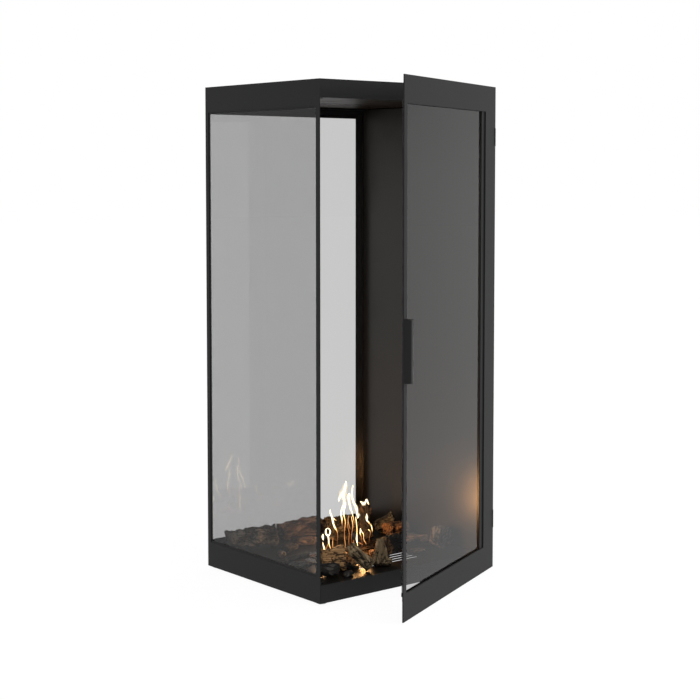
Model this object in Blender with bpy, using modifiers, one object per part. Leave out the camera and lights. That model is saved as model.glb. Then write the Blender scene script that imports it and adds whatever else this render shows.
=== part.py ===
"""Bioethanol room divider fireplace: a tall steel cabinet glazed on the end, the rear and the hinged front door."""
import math

import bmesh
import bpy
from mathutils import Matrix, Vector, noise
from mathutils.bvhtree import BVHTree

# Cabinet, in metres. It is built round the middle of its foot, with its door side facing -Y, and then moved back so
# that the origin is on the ground under the middle of the whole, with the door as it rests
CABINET_WIDTH = 0.600
CABINET_DEPTH = 0.500
CABINET_HEIGHT = 1.310
ORIGIN_SETBACK = 0.134
FLOOR_CLEARANCE = 0.004
SHEET = 0.002
TOUCH_GAP = 0.0003
OVERRUN = 0.005

# Base and roof trays, and the borders that the end and rear frames show inside them
BASE_HEIGHT = 0.046
ROOF_HEIGHT = 0.046
BORDER = 0.022
POST_WIDTH = 0.014
REAR_POST_WIDTH = 0.0105
SIDE_WALL_DEPTH = 0.050
FLANGE_WIDTH = 0.030
LEDGE_WIDTH = 0.015
PLATE_CLEARANCE = 0.0005

# Glazing
GLASS_THICKNESS = 0.004
SEAL_THICKNESS = 0.0015
SEAL_LIP = 0.004
REAR_POST_SEAL_LIP = 0.002
GLASS_OVERLAP = 0.006
GLASS_END_CLEARANCE = 0.010
REAR_GLASS_SETBACK = 0.006
BEAD_SHEET = 0.0015
BEAD_HEIGHT = 0.016
BEAD_FOOT = 0.012
BEAD_END_CLEARANCE = 0.014

# Air slots in the hearth and exhaust slots in the ceiling and roof
VENT_COUNT = 4
VENT_WIDTH = 0.009
VENT_PITCH = 0.019
VENT_LENGTH = 0.210
VENT_FRONT_SETBACK = 0.075
VENT_CENTRE_X = -0.010
EXHAUST_COUNT = 5
EXHAUST_WIDTH = 0.009
EXHAUST_PITCH = 0.024
EXHAUST_LENGTH = 0.190
EXHAUST_COLUMN_GAP = 0.020
EXHAUST_REAR_SETBACK = 0.114

# Side wall behind the door's hinges
HINGE_POST_SIZE = 0.030
HINGE_POST_SETBACK = 0.010
INSULATION_THICKNESS = 0.025

# Levelling feet
FOOT_INSET = 0.017
FOOT_PAD_RADIUS = 0.013
FOOT_STEM_RADIUS = 0.004
FOOT_STEM_LENGTH = 0.022
FOOT_HOLE_CLEARANCE = 0.0004
FOOT_NECK_RADIUS = 0.0065
FOOT_NUT_RADIUS = 0.0075
FOOT_NUT_HEIGHT = 0.006

# Burner with a comb slide that shuts its ports
BURNER_CENTRE_X = -0.0375
BURNER_CENTRE_Y = -0.030
TANK_LENGTH = 0.245
TANK_WIDTH = 0.080
TANK_DEPTH = 0.036
TANK_SHEET = 0.0015
RIM_WIDTH = 0.018
WOOL_CLEARANCE = 0.0008
WOOL_HEIGHT = 0.028
PORT_COUNT = 8
PORT_WIDTH = 0.013
PORT_LENGTH = 0.024
PORT_END_MARGIN = 0.018
SLIDE_WIDTH = 0.044
SLIDE_THICKNESS = 0.002
SLIDE_END_MARGIN = 0.006
SLIDE_TAB = 0.018
SLIDE_SIDE_CLEARANCE = 0.0005
RAIL_SHEET = 0.0012
RAIL_LIP = 0.0035
RAIL_FOOT = 0.008
KNOB_RADIUS = 0.006
KNOB_NECK_RADIUS = 0.003
KNOB_HEIGHT = 0.012
KNOB_CAP_HEIGHT = 0.005

# Door, modelled shut and then swung open about its hinge axis
DOOR_OPEN_DEGREES = 24.6
DOOR_SHEET = 0.003
DOOR_GAP = 0.0025
DOOR_RAIL = 0.068
DOOR_HINGE_STILE = 0.072
DOOR_FREE_STILE = 0.0175
DOOR_FRAME_STRIP = 0.0205
DOOR_FRAME_SETBACK = 0.0005
DOOR_FRAME_EDGE = 0.004
DOOR_FRAME_HINGE_MARGIN = 0.054
DOOR_GLASS_OVERLAP = 0.005
DOOR_GLASS_HINGE_OVERLAP = 0.0215
DOOR_GLASS_RAIL_OVERLAP = 0.008
DOOR_STRIP_FOOT = 0.008
DOOR_STRIP_END_CLEARANCE = 0.004
DOOR_STRIP_LIP_SETBACK = 0.001

# Hinges: a welded leaf and barrel on the side wall, a barrel on the door and a pin through both
HINGE_AXIS_INSET = 0.0035
BARREL_RADIUS = 0.0035
BARREL_BORE = 0.0021
PIN_RADIUS = 0.0020
BARREL_LENGTH = 0.024
HINGE_END_DISTANCE = 0.110
HINGE_LEAF_THICKNESS = 0.0019
HINGE_LEAF_WIDTH = 0.028
HINGE_RUNNING_GAP = 0.0003
PIN_OVERHANG = 0.001

# Door handle, its screws and the magnets that hold the door shut
HANDLE_LENGTH = 0.153
HANDLE_DEPTH = 0.018
HANDLE_CORNER_RADIUS = 0.005
HANDLE_EDGE_BEVEL = 0.0008
HANDLE_SCREW_SPACING = 0.100
HANDLE_SCREW_EDGE_DISTANCE = 0.0075
SCREW_RADIUS = 0.0018
SCREW_HEAD_RADIUS = 0.0032
SCREW_HEAD_HEIGHT = 0.0022
SCREW_LENGTH = 0.0150
SCREW_CLEARANCE = 0.0004
MAGNET_RADIUS = 0.008
MAGNET_THICKNESS = 0.0019
MAGNET_EDGE_DISTANCE = 0.030
MAGNET_RAIL_DISTANCE = 0.020

# Ceramic logs
LOG_DIAMETER = 0.062
LOG_WALL_CLEARANCE = 0.003
LOG_SEAT_GAP = 0.0006
LOG_LIFT_STEP = 0.0003
LOG_RINGS = 10
LOG_RESOLUTION = 4
LOG_BUMP_SHARE = 0.10
LOG_RIDGE_SHARE = 0.08
LOG_END_SHARE = 0.02
LOG_BREAK_SHARE = 0.3
ROUND_STEPS = 24

# Each log: plan start and end as shares of half the room for log axes between the side walls and of half the
# cabinet's depth, rise of the far end and both end thicknesses as shares of the log diameter, sideways bend as a
# share of its length, and the split plane's distance from the log's middle as a share of its radius, with the
# split's turn in degrees, or none
LOG_SHARES = {
    "log_rear_left": (-1.0773, 0.806, -0.5162, 0.632, 0.100, 0.86, 0.98, 0.03, None, 0.0),
    "log_rear_reddish": (-0.3218, 0.800, 0.2600, 0.768, 0.140, 0.72, 0.88, 0.04, None, 0.0),
    "log_rear_middle": (0.2000, 0.536, 0.5685, 0.504, -0.030, 0.96, 0.92, 0.02, None, 0.0),
    "branch_ember": (0.5335, 0.216, 0.5594, 0.284, 1.450, 0.60, 0.50, 0.04, None, 0.0),
    "log_right_orange": (0.7447, 0.112, 1.0150, 0.040, 0.000, 0.80, 0.76, 0.04, 0.70, 90.0),
    "log_rear_right": (0.7188, 0.296, 0.9222, 0.188, 0.500, 0.45, 0.40, 0.03, None, 0.0),
    "log_right_charred": (0.1836, -0.476, 0.4648, -0.420, 0.000, 0.82, 0.80, 0.02, None, 0.0),
    "log_front_wedge": (-0.2000, -0.828, -0.1500, -0.756, 0.960, 0.94, 0.36, 0.00, 0.25, 130.0),
    "log_front_left": (-0.8492, -0.572, -0.5900, -0.672, 0.000, 0.76, 1.04, 0.02, 0.55, 155.0),
    "branch_front": (-0.4294, -0.896, -0.4994, -0.656, 0.680, 0.58, 0.50, 0.03, None, 0.0),
    "log_front_charred": (-1.0475, -0.720, -0.8233, -0.840, 0.000, 0.58, 0.54, 0.02, None, 0.0),
    "log_left_thin": (-1.0307, -0.156, -0.7106, -0.180, 0.194, 0.38, 0.42, 0.03, 0.5, 60.0),
    "log_right_bark": (0.9961, -0.620, 1.0026, -0.448, 0.000, 0.92, 0.88, 0.00, None, 0.0),
    "branch_right": (0.7058, -0.240, 0.9832, -0.336, 0.000, 0.42, 0.40, 0.02, None, 0.0),
}

# Levels and faces that several pieces share
LEFT = -CABINET_WIDTH / 2
RIGHT = CABINET_WIDTH / 2
FRONT = -CABINET_DEPTH / 2
BACK = CABINET_DEPTH / 2
BOTTOM = FLOOR_CLEARANCE
TOP = FLOOR_CLEARANCE + CABINET_HEIGHT
HEARTH = BOTTOM + BASE_HEIGHT
CEILING = TOP - ROOF_HEIGHT
LINER_FACE = RIGHT - SIDE_WALL_DEPTH
SKIN = SHEET + TOUCH_GAP
WINDOW_LOW = HEARTH + BORDER
WINDOW_HIGH = CEILING - BORDER
BURNER_TOP = HEARTH + TOUCH_GAP + TANK_SHEET
COVER_TOP = BURNER_TOP + TOUCH_GAP + SHEET
PORT_PITCH = (TANK_LENGTH - PORT_WIDTH - 2 * PORT_END_MARGIN) / (PORT_COUNT - 1)
SLIDE_LOW = COVER_TOP + TOUCH_GAP
SLIDE_TOP = SLIDE_LOW + SLIDE_THICKNESS
DOOR_BACK = FRONT - DOOR_GAP
DOOR_FRONT = DOOR_BACK - DOOR_SHEET
LOGS_LEFT = LEFT + BORDER + LOG_DIAMETER / 2
LOGS_RIGHT = LINER_FACE - LOG_WALL_CLEARANCE - LOG_DIAMETER / 2
LOGS_MIDDLE_X = (LOGS_LEFT + LOGS_RIGHT) / 2
LOGS_REACH_X = (LOGS_RIGHT - LOGS_LEFT) / 2
HINGE_X = RIGHT - HINGE_AXIS_INSET
HINGE_Y = (DOOR_BACK + DOOR_FRONT) / 2

UPRIGHT_X = (math.radians(90), 0.0, math.radians(90))
UPRIGHT_Y = (math.radians(90), 0.0, 0.0)
FLAT = (0.0, 0.0, 0.0)


def clear_objects():
    """Removes the objects that the scene starts with."""
    for obj in list(bpy.data.objects):
        bpy.data.objects.remove(obj, do_unlink=True)


def new_collection(name):
    """Makes a collection in the scene."""
    collection = bpy.data.collections.new(name)
    bpy.context.scene.collection.children.link(collection)
    return collection


def new_material(name, colour, roughness, metallic, alpha=1.0):
    """Makes a plain Principled material."""
    made = bpy.data.materials.new(name)
    made.use_nodes = True
    shader = made.node_tree.nodes["Principled BSDF"]
    shader.inputs["Base Color"].default_value = (*colour, 1.0)
    shader.inputs["Roughness"].default_value = roughness
    shader.inputs["Metallic"].default_value = metallic
    shader.inputs["Alpha"].default_value = alpha
    made.diffuse_color = (*colour, alpha)
    return made


clear_objects()
PARTS = new_collection("room_divider_fireplace")
CUTTERS = new_collection("cutters")
BLACK_STEEL = new_material("cabinet_steel", (0.030, 0.030, 0.031), 0.55, 0.2)
DOOR_STEEL = new_material("door_steel", (0.040, 0.040, 0.041), 0.50, 0.2)
LINER_STEEL = new_material("liner_steel", (0.030, 0.028, 0.026), 0.35, 0.5)
HANDLE_BLACK = new_material("handle_black", (0.016, 0.016, 0.016), 0.45, 0.2)
TINTED_GLASS = new_material("tinted_glass", (0.20, 0.20, 0.20), 0.05, 0.0, 0.35)
SEAL_BLACK = new_material("seal_black", (0.012, 0.012, 0.012), 0.9, 0.0)
BURNER_STEEL = new_material("burner_steel", (0.30, 0.29, 0.28), 0.35, 1.0)
CERAMIC_WOOL = new_material("ceramic_wool", (0.75, 0.73, 0.68), 0.95, 0.0)
ZINC = new_material("zinc", (0.45, 0.45, 0.46), 0.35, 1.0)
BARK = new_material("bark", (0.10, 0.065, 0.040), 0.9, 0.0)
CHARRED = new_material("charred", (0.020, 0.018, 0.017), 0.85, 0.0)
RED_BARK = new_material("red_bark", (0.22, 0.085, 0.035), 0.9, 0.0)


def add_object(name, mesh, material, collection=None):
    """Puts a mesh in the scene as one named piece."""
    obj = bpy.data.objects.new(name, mesh)
    (collection or PARTS).objects.link(obj)
    mesh.materials.clear()
    mesh.materials.append(material)
    return obj


def box(name, low, high, material, collection=None):
    """Makes a box from its low and high corners, with its origin in its middle."""
    low, high = Vector(low), Vector(high)
    shape = bmesh.new()
    bmesh.ops.create_cube(shape, size=1.0)
    bmesh.ops.scale(shape, vec=high - low, verts=shape.verts)
    mesh = bpy.data.meshes.new(name)
    shape.to_mesh(mesh)
    shape.free()
    obj = add_object(name, mesh, material, collection)
    obj.location = (low + high) / 2
    return obj


def mesh_from(obj):
    """Turns a curve object into a mesh object that keeps its place, with its caps welded."""
    graph = bpy.context.evaluated_depsgraph_get()
    mesh = bpy.data.meshes.new_from_object(obj.evaluated_get(graph))
    shape = bmesh.new()
    shape.from_mesh(mesh)
    bmesh.ops.remove_doubles(shape, verts=shape.verts, dist=0.00001)
    shape.to_mesh(mesh)
    shape.free()
    name, collection, place = obj.name, obj.users_collection[0], obj.matrix_world.copy()
    material = obj.data.materials[0]
    bpy.data.objects.remove(obj, do_unlink=True)
    made = add_object(name, mesh, material, collection)
    made.name = name
    made.matrix_world = place
    return made


def plate(name, outlines, thickness, turn, place, material, collection=None):
    """Makes a flat plate from closed outlines, the first one its edge and the rest its holes."""
    curve = bpy.data.curves.new(name, "CURVE")
    curve.dimensions = "2D"
    curve.fill_mode = "BOTH"
    curve.extrude = thickness / 2
    for outline in outlines:
        spline = curve.splines.new("POLY")
        spline.points.add(len(outline) - 1)
        for point, (x, y) in zip(spline.points, outline):
            point.co = (x, y, 0.0, 1.0)
        spline.use_cyclic_u = True
    curve.materials.append(material)
    obj = bpy.data.objects.new(name, curve)
    (collection or PARTS).objects.link(obj)
    obj.rotation_euler = turn
    obj.location = place
    bpy.context.view_layer.update()
    return mesh_from(obj)


def rectangle(low_x, high_x, low_y, high_y):
    """Corners of a rectangle."""
    return [(low_x, low_y), (high_x, low_y), (high_x, high_y), (low_x, high_y)]


def circle(x, y, radius, steps=ROUND_STEPS):
    """Points round a circle."""
    turns = [math.tau * step / steps for step in range(steps)]
    return [(x + radius * math.cos(turn), y + radius * math.sin(turn)) for turn in turns]


def slot(x, y, length, width, steps=6):
    """Outline of a slot along X with round ends."""
    radius = width / 2
    reach = length / 2 - radius
    points = []
    for side, start in ((1, -90), (-1, 90)):
        for step in range(steps + 1):
            turn = math.radians(start + 180 * step / steps)
            points.append((x + side * reach + radius * math.cos(turn), y + radius * math.sin(turn)))
    return points


def cut(target, cutter):
    """Takes the cutter's shape out of the target."""
    cutter.hide_render = True
    cutter.display_type = "WIRE"
    modifier = target.modifiers.new(cutter.name, "BOOLEAN")
    modifier.operation = "DIFFERENCE"
    modifier.solver = "EXACT"
    modifier.object = cutter


def folded(name, points, start, end, thickness, turn, place, material):
    """Folds a sheet: an open line of points in XY, drawn from start to end along Z and given its thickness."""
    shape = bmesh.new()
    row = [shape.verts.new((x, y, start)) for x, y in points]
    edges = [shape.edges.new(pair) for pair in zip(row, row[1:])]
    grown = bmesh.ops.extrude_edge_only(shape, edges=edges)
    moved = [item for item in grown["geom"] if isinstance(item, bmesh.types.BMVert)]
    bmesh.ops.translate(shape, vec=(0.0, 0.0, end - start), verts=moved)
    bmesh.ops.recalc_face_normals(shape, faces=shape.faces)
    mesh = bpy.data.meshes.new(name)
    shape.to_mesh(mesh)
    shape.free()
    obj = add_object(name, mesh, material)
    obj.rotation_euler = turn
    obj.location = place
    wall = obj.modifiers.new("thickness", "SOLIDIFY")
    wall.thickness = thickness
    wall.offset = 0.0
    wall.use_even_offset = True
    return obj


def turned(name, profile, place, material, steps=ROUND_STEPS, turn=FLAT):
    """Turns a profile, given from top to bottom down its outer side, about Z."""
    mesh = bpy.data.meshes.new(name)
    points = [(radius, 0.0, height) for radius, height in profile]
    mesh.from_pydata(points, [(i, i + 1) for i in range(len(points) - 1)], [])
    obj = add_object(name, mesh, material)
    obj.location = place
    obj.rotation_euler = turn
    screw = obj.modifiers.new("turn", "SCREW")
    screw.steps = steps
    screw.render_steps = steps
    screw.use_merge_vertices = True
    screw.merge_threshold = 0.00001
    screw.use_smooth_shade = True
    return obj


def tube(name, outer, bore, low, high, x, y, material):
    """Makes a round tube that stands along Z."""
    outlines = [circle(0.0, 0.0, outer), circle(0.0, 0.0, bore)]
    return plate(name, outlines, high - low, FLAT, (x, y, (low + high) / 2), material)


def tray_cuts(target, name, low, high, ledge_low, ledge_high, x_low, x_high, y_low, y_high):
    """Hollows a tray: its inside on both sides of a ledge, the ledge's opening and the flange's opening."""
    sheet, middle = SHEET, (low + high) / 2
    rooms = {
        "cut_" + name + "_inside": (sheet, min(ledge_low, low + sheet), ledge_low),
        "cut_" + name + "_seat": (sheet, ledge_high, high + OVERRUN),
        "cut_" + name + "_ledge": (sheet + LEDGE_WIDTH, middle, high + OVERRUN),
        "cut_" + name + "_flange": (sheet + FLANGE_WIDTH, low - OVERRUN, middle),
    }
    for cutter_name, (inset, bottom, top) in rooms.items():
        corner = (x_low + inset, y_low + inset, bottom)
        far = (x_high - inset, y_high - inset, top)
        cut(target, box(cutter_name, corner, far, BLACK_STEEL, CUTTERS))


def foot_places():
    """Plan places of the four feet, by name."""
    x = CABINET_WIDTH / 2 - SKIN - FOOT_INSET
    y = CABINET_DEPTH / 2 - SKIN - FOOT_INSET
    return {
        "front_left": (-x, -y),
        "front_right": (x, -y),
        "rear_left": (-x, y),
        "rear_right": (x, y),
    }


def make_base():
    """The base tray, open below, with the ledge that the hearth plate lies on."""
    sides = (LEFT + SKIN, RIGHT - SKIN, FRONT, BACK - SKIN)
    pan = box("base_pan", (sides[0], sides[2], BOTTOM), (sides[1], sides[3], HEARTH), BLACK_STEEL)
    ledge_high = HEARTH - SHEET - TOUCH_GAP
    tray_cuts(pan, "base", BOTTOM, HEARTH, ledge_high - SHEET, ledge_high, *sides)
    holes = [circle(x, y, FOOT_STEM_RADIUS + FOOT_HOLE_CLEARANCE, 12) for x, y in foot_places().values()]
    place = (0.0, 0.0, BOTTOM + SHEET / 2)
    cut(pan, plate("cut_foot_holes", holes, SHEET + OVERRUN, FLAT, place, BLACK_STEEL, CUTTERS))


def hearth_outlines():
    """Edge of the hearth plate, the burner's cut-out and the air slots."""
    inset = SHEET + PLATE_CLEARANCE
    edge = rectangle(LEFT + SKIN + inset, RIGHT - SKIN - inset, FRONT + inset, BACK - SKIN - inset)
    reach_x = TANK_LENGTH / 2 + PLATE_CLEARANCE
    reach_y = TANK_WIDTH / 2 + PLATE_CLEARANCE
    x, y = BURNER_CENTRE_X, BURNER_CENTRE_Y
    burner_hole = rectangle(x - reach_x, x + reach_x, y - reach_y, y + reach_y)
    first = FRONT + VENT_FRONT_SETBACK
    vents = [slot(VENT_CENTRE_X, first + VENT_PITCH * i, VENT_LENGTH, VENT_WIDTH) for i in range(VENT_COUNT)]
    return [edge, burner_hole, *vents]


def make_hearth():
    """The hearth plate that the logs lie on."""
    place = (0.0, 0.0, HEARTH - SHEET / 2)
    plate("hearth_plate", hearth_outlines(), SHEET, FLAT, place, BLACK_STEEL)


def exhaust_slots():
    """Outlines of the exhaust slots, in two columns."""
    first = BACK - EXHAUST_REAR_SETBACK
    shift = (EXHAUST_LENGTH + EXHAUST_COLUMN_GAP) / 2
    places = [(side * shift, first - EXHAUST_PITCH * i) for side in (-1, 1) for i in range(EXHAUST_COUNT)]
    return [slot(x, y, EXHAUST_LENGTH, EXHAUST_WIDTH) for x, y in places]


def make_roof():
    """The roof tray and the ceiling plate that lies inside it on the tray's flange."""
    sides = (LEFT + SKIN, RIGHT - SKIN, FRONT, BACK - SKIN)
    pan = box("roof_pan", (sides[0], sides[2], CEILING), (sides[1], sides[3], TOP), BLACK_STEEL)
    inset = SHEET + LEDGE_WIDTH
    room = ((sides[0] + SHEET, sides[2] + SHEET, CEILING + SHEET), (sides[1] - SHEET, sides[3] - SHEET, TOP - SHEET))
    mouth_low = (sides[0] + inset, sides[2] + inset, CEILING - OVERRUN)
    mouth_high = (sides[1] - inset, sides[3] - inset, (CEILING + TOP) / 2)
    cut(pan, box("cut_roof_inside", *room, BLACK_STEEL, CUTTERS))
    cut(pan, box("cut_roof_mouth", mouth_low, mouth_high, BLACK_STEEL, CUTTERS))
    place = (0.0, 0.0, TOP - SHEET / 2)
    slots = plate("cut_roof_slots", exhaust_slots(), SHEET + OVERRUN, FLAT, place, BLACK_STEEL, CUTTERS)
    cut(pan, slots)
    gap = SHEET + PLATE_CLEARANCE
    edge = rectangle(sides[0] + gap, sides[1] - gap, sides[2] + gap, sides[3] - gap)
    height = CEILING + SHEET + TOUCH_GAP + SHEET / 2
    plate("ceiling_plate", [edge, *exhaust_slots()], SHEET, FLAT, (0.0, 0.0, height), LINER_STEEL)


def window_frame(name, turn, normal_place, outer, window, thickness, material):
    """A flat frame that stands upright, with one window."""
    return plate(name, [rectangle(*outer), rectangle(*window)], thickness, turn, normal_place, material)


def make_end_glazing():
    """The left end: outer frame, seal and glass, behind one another."""
    front_edge = FRONT + POST_WIDTH
    back_edge = BACK - POST_WIDTH
    outer = (FRONT, BACK, BOTTOM, TOP)
    window = (front_edge, back_edge, WINDOW_LOW, WINDOW_HIGH)
    window_frame("end_frame", UPRIGHT_X, (LEFT + SHEET / 2, 0.0, 0.0), outer, window, SHEET, BLACK_STEEL)
    lip = SEAL_LIP
    glass_low = HEARTH + TOUCH_GAP
    glass_high = CEILING - TOUCH_GAP
    pane = (front_edge - GLASS_OVERLAP, BACK - GLASS_END_CLEARANCE, glass_low, glass_high)
    seal_window = (front_edge + lip, back_edge - lip, WINDOW_LOW + lip, WINDOW_HIGH - lip)
    seal_x = LEFT + SKIN + SEAL_THICKNESS / 2
    window_frame("end_seal", UPRIGHT_X, (seal_x, 0.0, 0.0), pane, seal_window, SEAL_THICKNESS, SEAL_BLACK)
    glass_x = seal_x + SEAL_THICKNESS / 2 + TOUCH_GAP + GLASS_THICKNESS / 2
    plate("end_glass", [rectangle(*pane)], GLASS_THICKNESS, UPRIGHT_X, (glass_x, 0.0, 0.0), TINTED_GLASS)
    return glass_x + GLASS_THICKNESS / 2


def make_rear_glazing():
    """The rear: outer frame, seal and glass, behind one another."""
    left_edge = LEFT + REAR_POST_WIDTH
    right_edge = LINER_FACE - BORDER
    outer = (LEFT + SKIN, RIGHT - SKIN, BOTTOM, TOP)
    window = (left_edge, right_edge, WINDOW_LOW, WINDOW_HIGH)
    window_frame("rear_frame", UPRIGHT_Y, (0.0, BACK - SHEET / 2, 0.0), outer, window, SHEET, BLACK_STEEL)
    lip = SEAL_LIP
    glass_low = HEARTH + TOUCH_GAP
    glass_high = CEILING - TOUCH_GAP
    pane = (LEFT + REAR_GLASS_SETBACK, LINER_FACE - PLATE_CLEARANCE, glass_low, glass_high)
    seal_left = left_edge + REAR_POST_SEAL_LIP
    seal_window = (seal_left, right_edge - lip, WINDOW_LOW + lip, WINDOW_HIGH - lip)
    seal_y = BACK - SKIN - SEAL_THICKNESS / 2
    window_frame("rear_seal", UPRIGHT_Y, (0.0, seal_y, 0.0), pane, seal_window, SEAL_THICKNESS, SEAL_BLACK)
    glass_y = seal_y - SEAL_THICKNESS / 2 - TOUCH_GAP - GLASS_THICKNESS / 2
    plate("rear_glass", [rectangle(*pane)], GLASS_THICKNESS, UPRIGHT_Y, (0.0, glass_y, 0.0), TINTED_GLASS)
    return glass_y - GLASS_THICKNESS / 2


def bead_section(face, rest, inward):
    """Middle line of a glazing bead: its foot on the plate, then up along the glass."""
    half = BEAD_SHEET / 2
    upright = face + inward * (TOUCH_GAP + half)
    return upright, rest(half + TOUCH_GAP), rest(BEAD_HEIGHT), upright + inward * BEAD_FOOT


def make_beads(end_face, rear_face):
    """Angle beads that hold the end and rear glass against their seals, above and below."""
    levels = {"bottom": lambda rise: HEARTH + rise, "top": lambda drop: CEILING - drop}
    front = FRONT + BEAD_END_CLEARANCE
    back = BACK - BEAD_END_CLEARANCE
    for side, rest in levels.items():
        upright, low, high, foot = bead_section(end_face, rest, 1)
        line = [(upright, high), (upright, low), (foot, low)]
        folded("end_bead_" + side, line, -back, -front, BEAD_SHEET, UPRIGHT_Y, FLAT, BLACK_STEEL)
        corner = foot + BEAD_SHEET
        upright, low, high, foot = bead_section(rear_face, rest, -1)
        line = [(upright, high), (upright, low), (foot, low)]
        far = LINER_FACE - PLATE_CLEARANCE
        folded("rear_bead_" + side, line, corner, far, BEAD_SHEET, UPRIGHT_X, FLAT, BLACK_STEEL)


def make_side_wall():
    """The wall side: outer panel, inner liner with its front fold, hinge post and insulation board."""
    plate("side_panel", [rectangle(FRONT, BACK, BOTTOM, TOP)], SHEET, UPRIGHT_X, (RIGHT - SHEET / 2, 0.0, 0.0), BLACK_STEEL)
    low = HEARTH + TOUCH_GAP
    high = CEILING - TOUCH_GAP
    middle = LINER_FACE + SHEET / 2
    face = FRONT + SHEET / 2
    line = [(RIGHT - SKIN, face), (middle, face), (middle, BACK - SKIN)]
    folded("side_liner", line, low, high, SHEET, FLAT, FLAT, LINER_STEEL)
    post_x = LINER_FACE + HINGE_POST_SETBACK + HINGE_POST_SIZE / 2
    post_y = FRONT + SKIN + HINGE_POST_SIZE / 2
    half = HINGE_POST_SIZE / 2
    bore = half - SHEET
    walls = [rectangle(-half, half, -half, half), rectangle(-bore, bore, -bore, bore)]
    plate("hinge_post", walls, high - low, FLAT, (post_x, post_y, (low + high) / 2), ZINC)
    board_x = LINER_FACE + SHEET + TOUCH_GAP
    board_low = (board_x, post_y + half + TOUCH_GAP, low)
    board_high = (board_x + INSULATION_THICKNESS, BACK - SKIN, high)
    box("wall_insulation", board_low, board_high, CERAMIC_WOOL)


def make_feet():
    """Levelling feet: a pad under the base flange, a stem through it and a nut's hexagon above it."""
    flange_top = BOTTOM + SHEET
    profile = [
        (0.0, flange_top + FOOT_STEM_LENGTH),
        (FOOT_STEM_RADIUS, flange_top + FOOT_STEM_LENGTH),
        (FOOT_STEM_RADIUS, flange_top + TOUCH_GAP + FOOT_NUT_HEIGHT),
        (FOOT_NUT_RADIUS, flange_top + TOUCH_GAP + FOOT_NUT_HEIGHT),
        (FOOT_NUT_RADIUS, flange_top + TOUCH_GAP),
        (FOOT_STEM_RADIUS, flange_top + TOUCH_GAP),
        (FOOT_STEM_RADIUS, BOTTOM - TOUCH_GAP),
        (FOOT_NECK_RADIUS, BOTTOM - TOUCH_GAP),
        (FOOT_PAD_RADIUS, FLOOR_CLEARANCE / 3),
        (FOOT_PAD_RADIUS, 0.0),
        (0.0, 0.0),
    ]
    for name, (x, y) in foot_places().items():
        turned("foot_" + name, profile, (x, y, 0.0), ZINC, 12)


def make_tank():
    """The fuel tank, a shell pushed down from its rim, with the absorbent wool inside."""
    shape = bmesh.new()
    bmesh.ops.create_grid(shape, x_segments=1, y_segments=1, size=0.5)
    rim_length = TANK_LENGTH - TANK_SHEET + 2 * RIM_WIDTH
    rim_width = TANK_WIDTH - TANK_SHEET + 2 * RIM_WIDTH
    bmesh.ops.scale(shape, vec=(rim_length, rim_width, 1.0), verts=shape.verts)
    faces = list(shape.faces)
    bmesh.ops.inset_region(shape, faces=faces, thickness=RIM_WIDTH, use_even_offset=True, use_boundary=True)
    middle = min(shape.faces, key=lambda face: face.calc_center_median().length)
    pushed = bmesh.ops.extrude_face_region(shape, geom=[middle])
    bmesh.ops.delete(shape, geom=[middle], context="FACES_ONLY")
    moved = [item for item in pushed["geom"] if isinstance(item, bmesh.types.BMVert)]
    bmesh.ops.translate(shape, vec=(0.0, 0.0, -TANK_DEPTH), verts=moved)
    mesh = bpy.data.meshes.new("burner_tank")
    shape.to_mesh(mesh)
    shape.free()
    tank = add_object("burner_tank", mesh, BURNER_STEEL)
    tank.location = (BURNER_CENTRE_X, BURNER_CENTRE_Y, BURNER_TOP - TANK_SHEET / 2)
    wall = tank.modifiers.new("thickness", "SOLIDIFY")
    wall.solidify_mode = "NON_MANIFOLD"
    wall.nonmanifold_thickness_mode = "CONSTRAINTS"
    wall.thickness = TANK_SHEET
    wall.offset = 0.0
    reach = Vector((TANK_LENGTH, TANK_WIDTH, 0.0)) / 2
    reach -= Vector((1.0, 1.0, 0.0)) * (TANK_SHEET + WOOL_CLEARANCE)
    low = BURNER_TOP - TANK_DEPTH + TOUCH_GAP
    centre = Vector((BURNER_CENTRE_X, BURNER_CENTRE_Y, low))
    box("burner_wool", centre - reach, centre + reach + Vector((0.0, 0.0, WOOL_HEIGHT)), CERAMIC_WOOL)


def port_outlines():
    """Outlines of the burner's ports, in a row along X, about the burner's middle."""
    first = -PORT_PITCH * (PORT_COUNT - 1) / 2
    places = [first + PORT_PITCH * i for i in range(PORT_COUNT)]
    upright = [slot(0.0, 0.0, PORT_LENGTH, PORT_WIDTH) for _ in places]
    return [[(x - v, u) for u, v in outline] for x, outline in zip(places, upright)]


def make_burner_cover():
    """The ported cover plate and the two rails that guide the slide over it."""
    reach_x = TANK_LENGTH / 2 + RIM_WIDTH - TANK_SHEET
    reach_y = TANK_WIDTH / 2 + RIM_WIDTH - TANK_SHEET
    edge = rectangle(-reach_x, reach_x, -reach_y, reach_y)
    place = (BURNER_CENTRE_X, BURNER_CENTRE_Y, COVER_TOP - SHEET / 2)
    plate("burner_cover", [edge, *port_outlines()], SHEET, FLAT, place, BURNER_STEEL)
    half = RAIL_SHEET / 2
    riser = SLIDE_WIDTH / 2 + SLIDE_SIDE_CLEARANCE + half
    foot_level = COVER_TOP + TOUCH_GAP + half
    lip_level = SLIDE_TOP + TOUCH_GAP + half
    for name, side in (("front", -1), ("rear", 1)):
        middle = BURNER_CENTRE_Y
        line = [
            (middle + side * (riser + RAIL_FOOT), foot_level),
            (middle + side * riser, foot_level),
            (middle + side * riser, lip_level),
            (middle + side * (riser - RAIL_LIP), lip_level),
        ]
        ends = (BURNER_CENTRE_X - TANK_LENGTH / 2, BURNER_CENTRE_X + TANK_LENGTH / 2)
        folded("slide_rail_" + name, line, *ends, RAIL_SHEET, UPRIGHT_X, FLAT, BURNER_STEEL)


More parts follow.
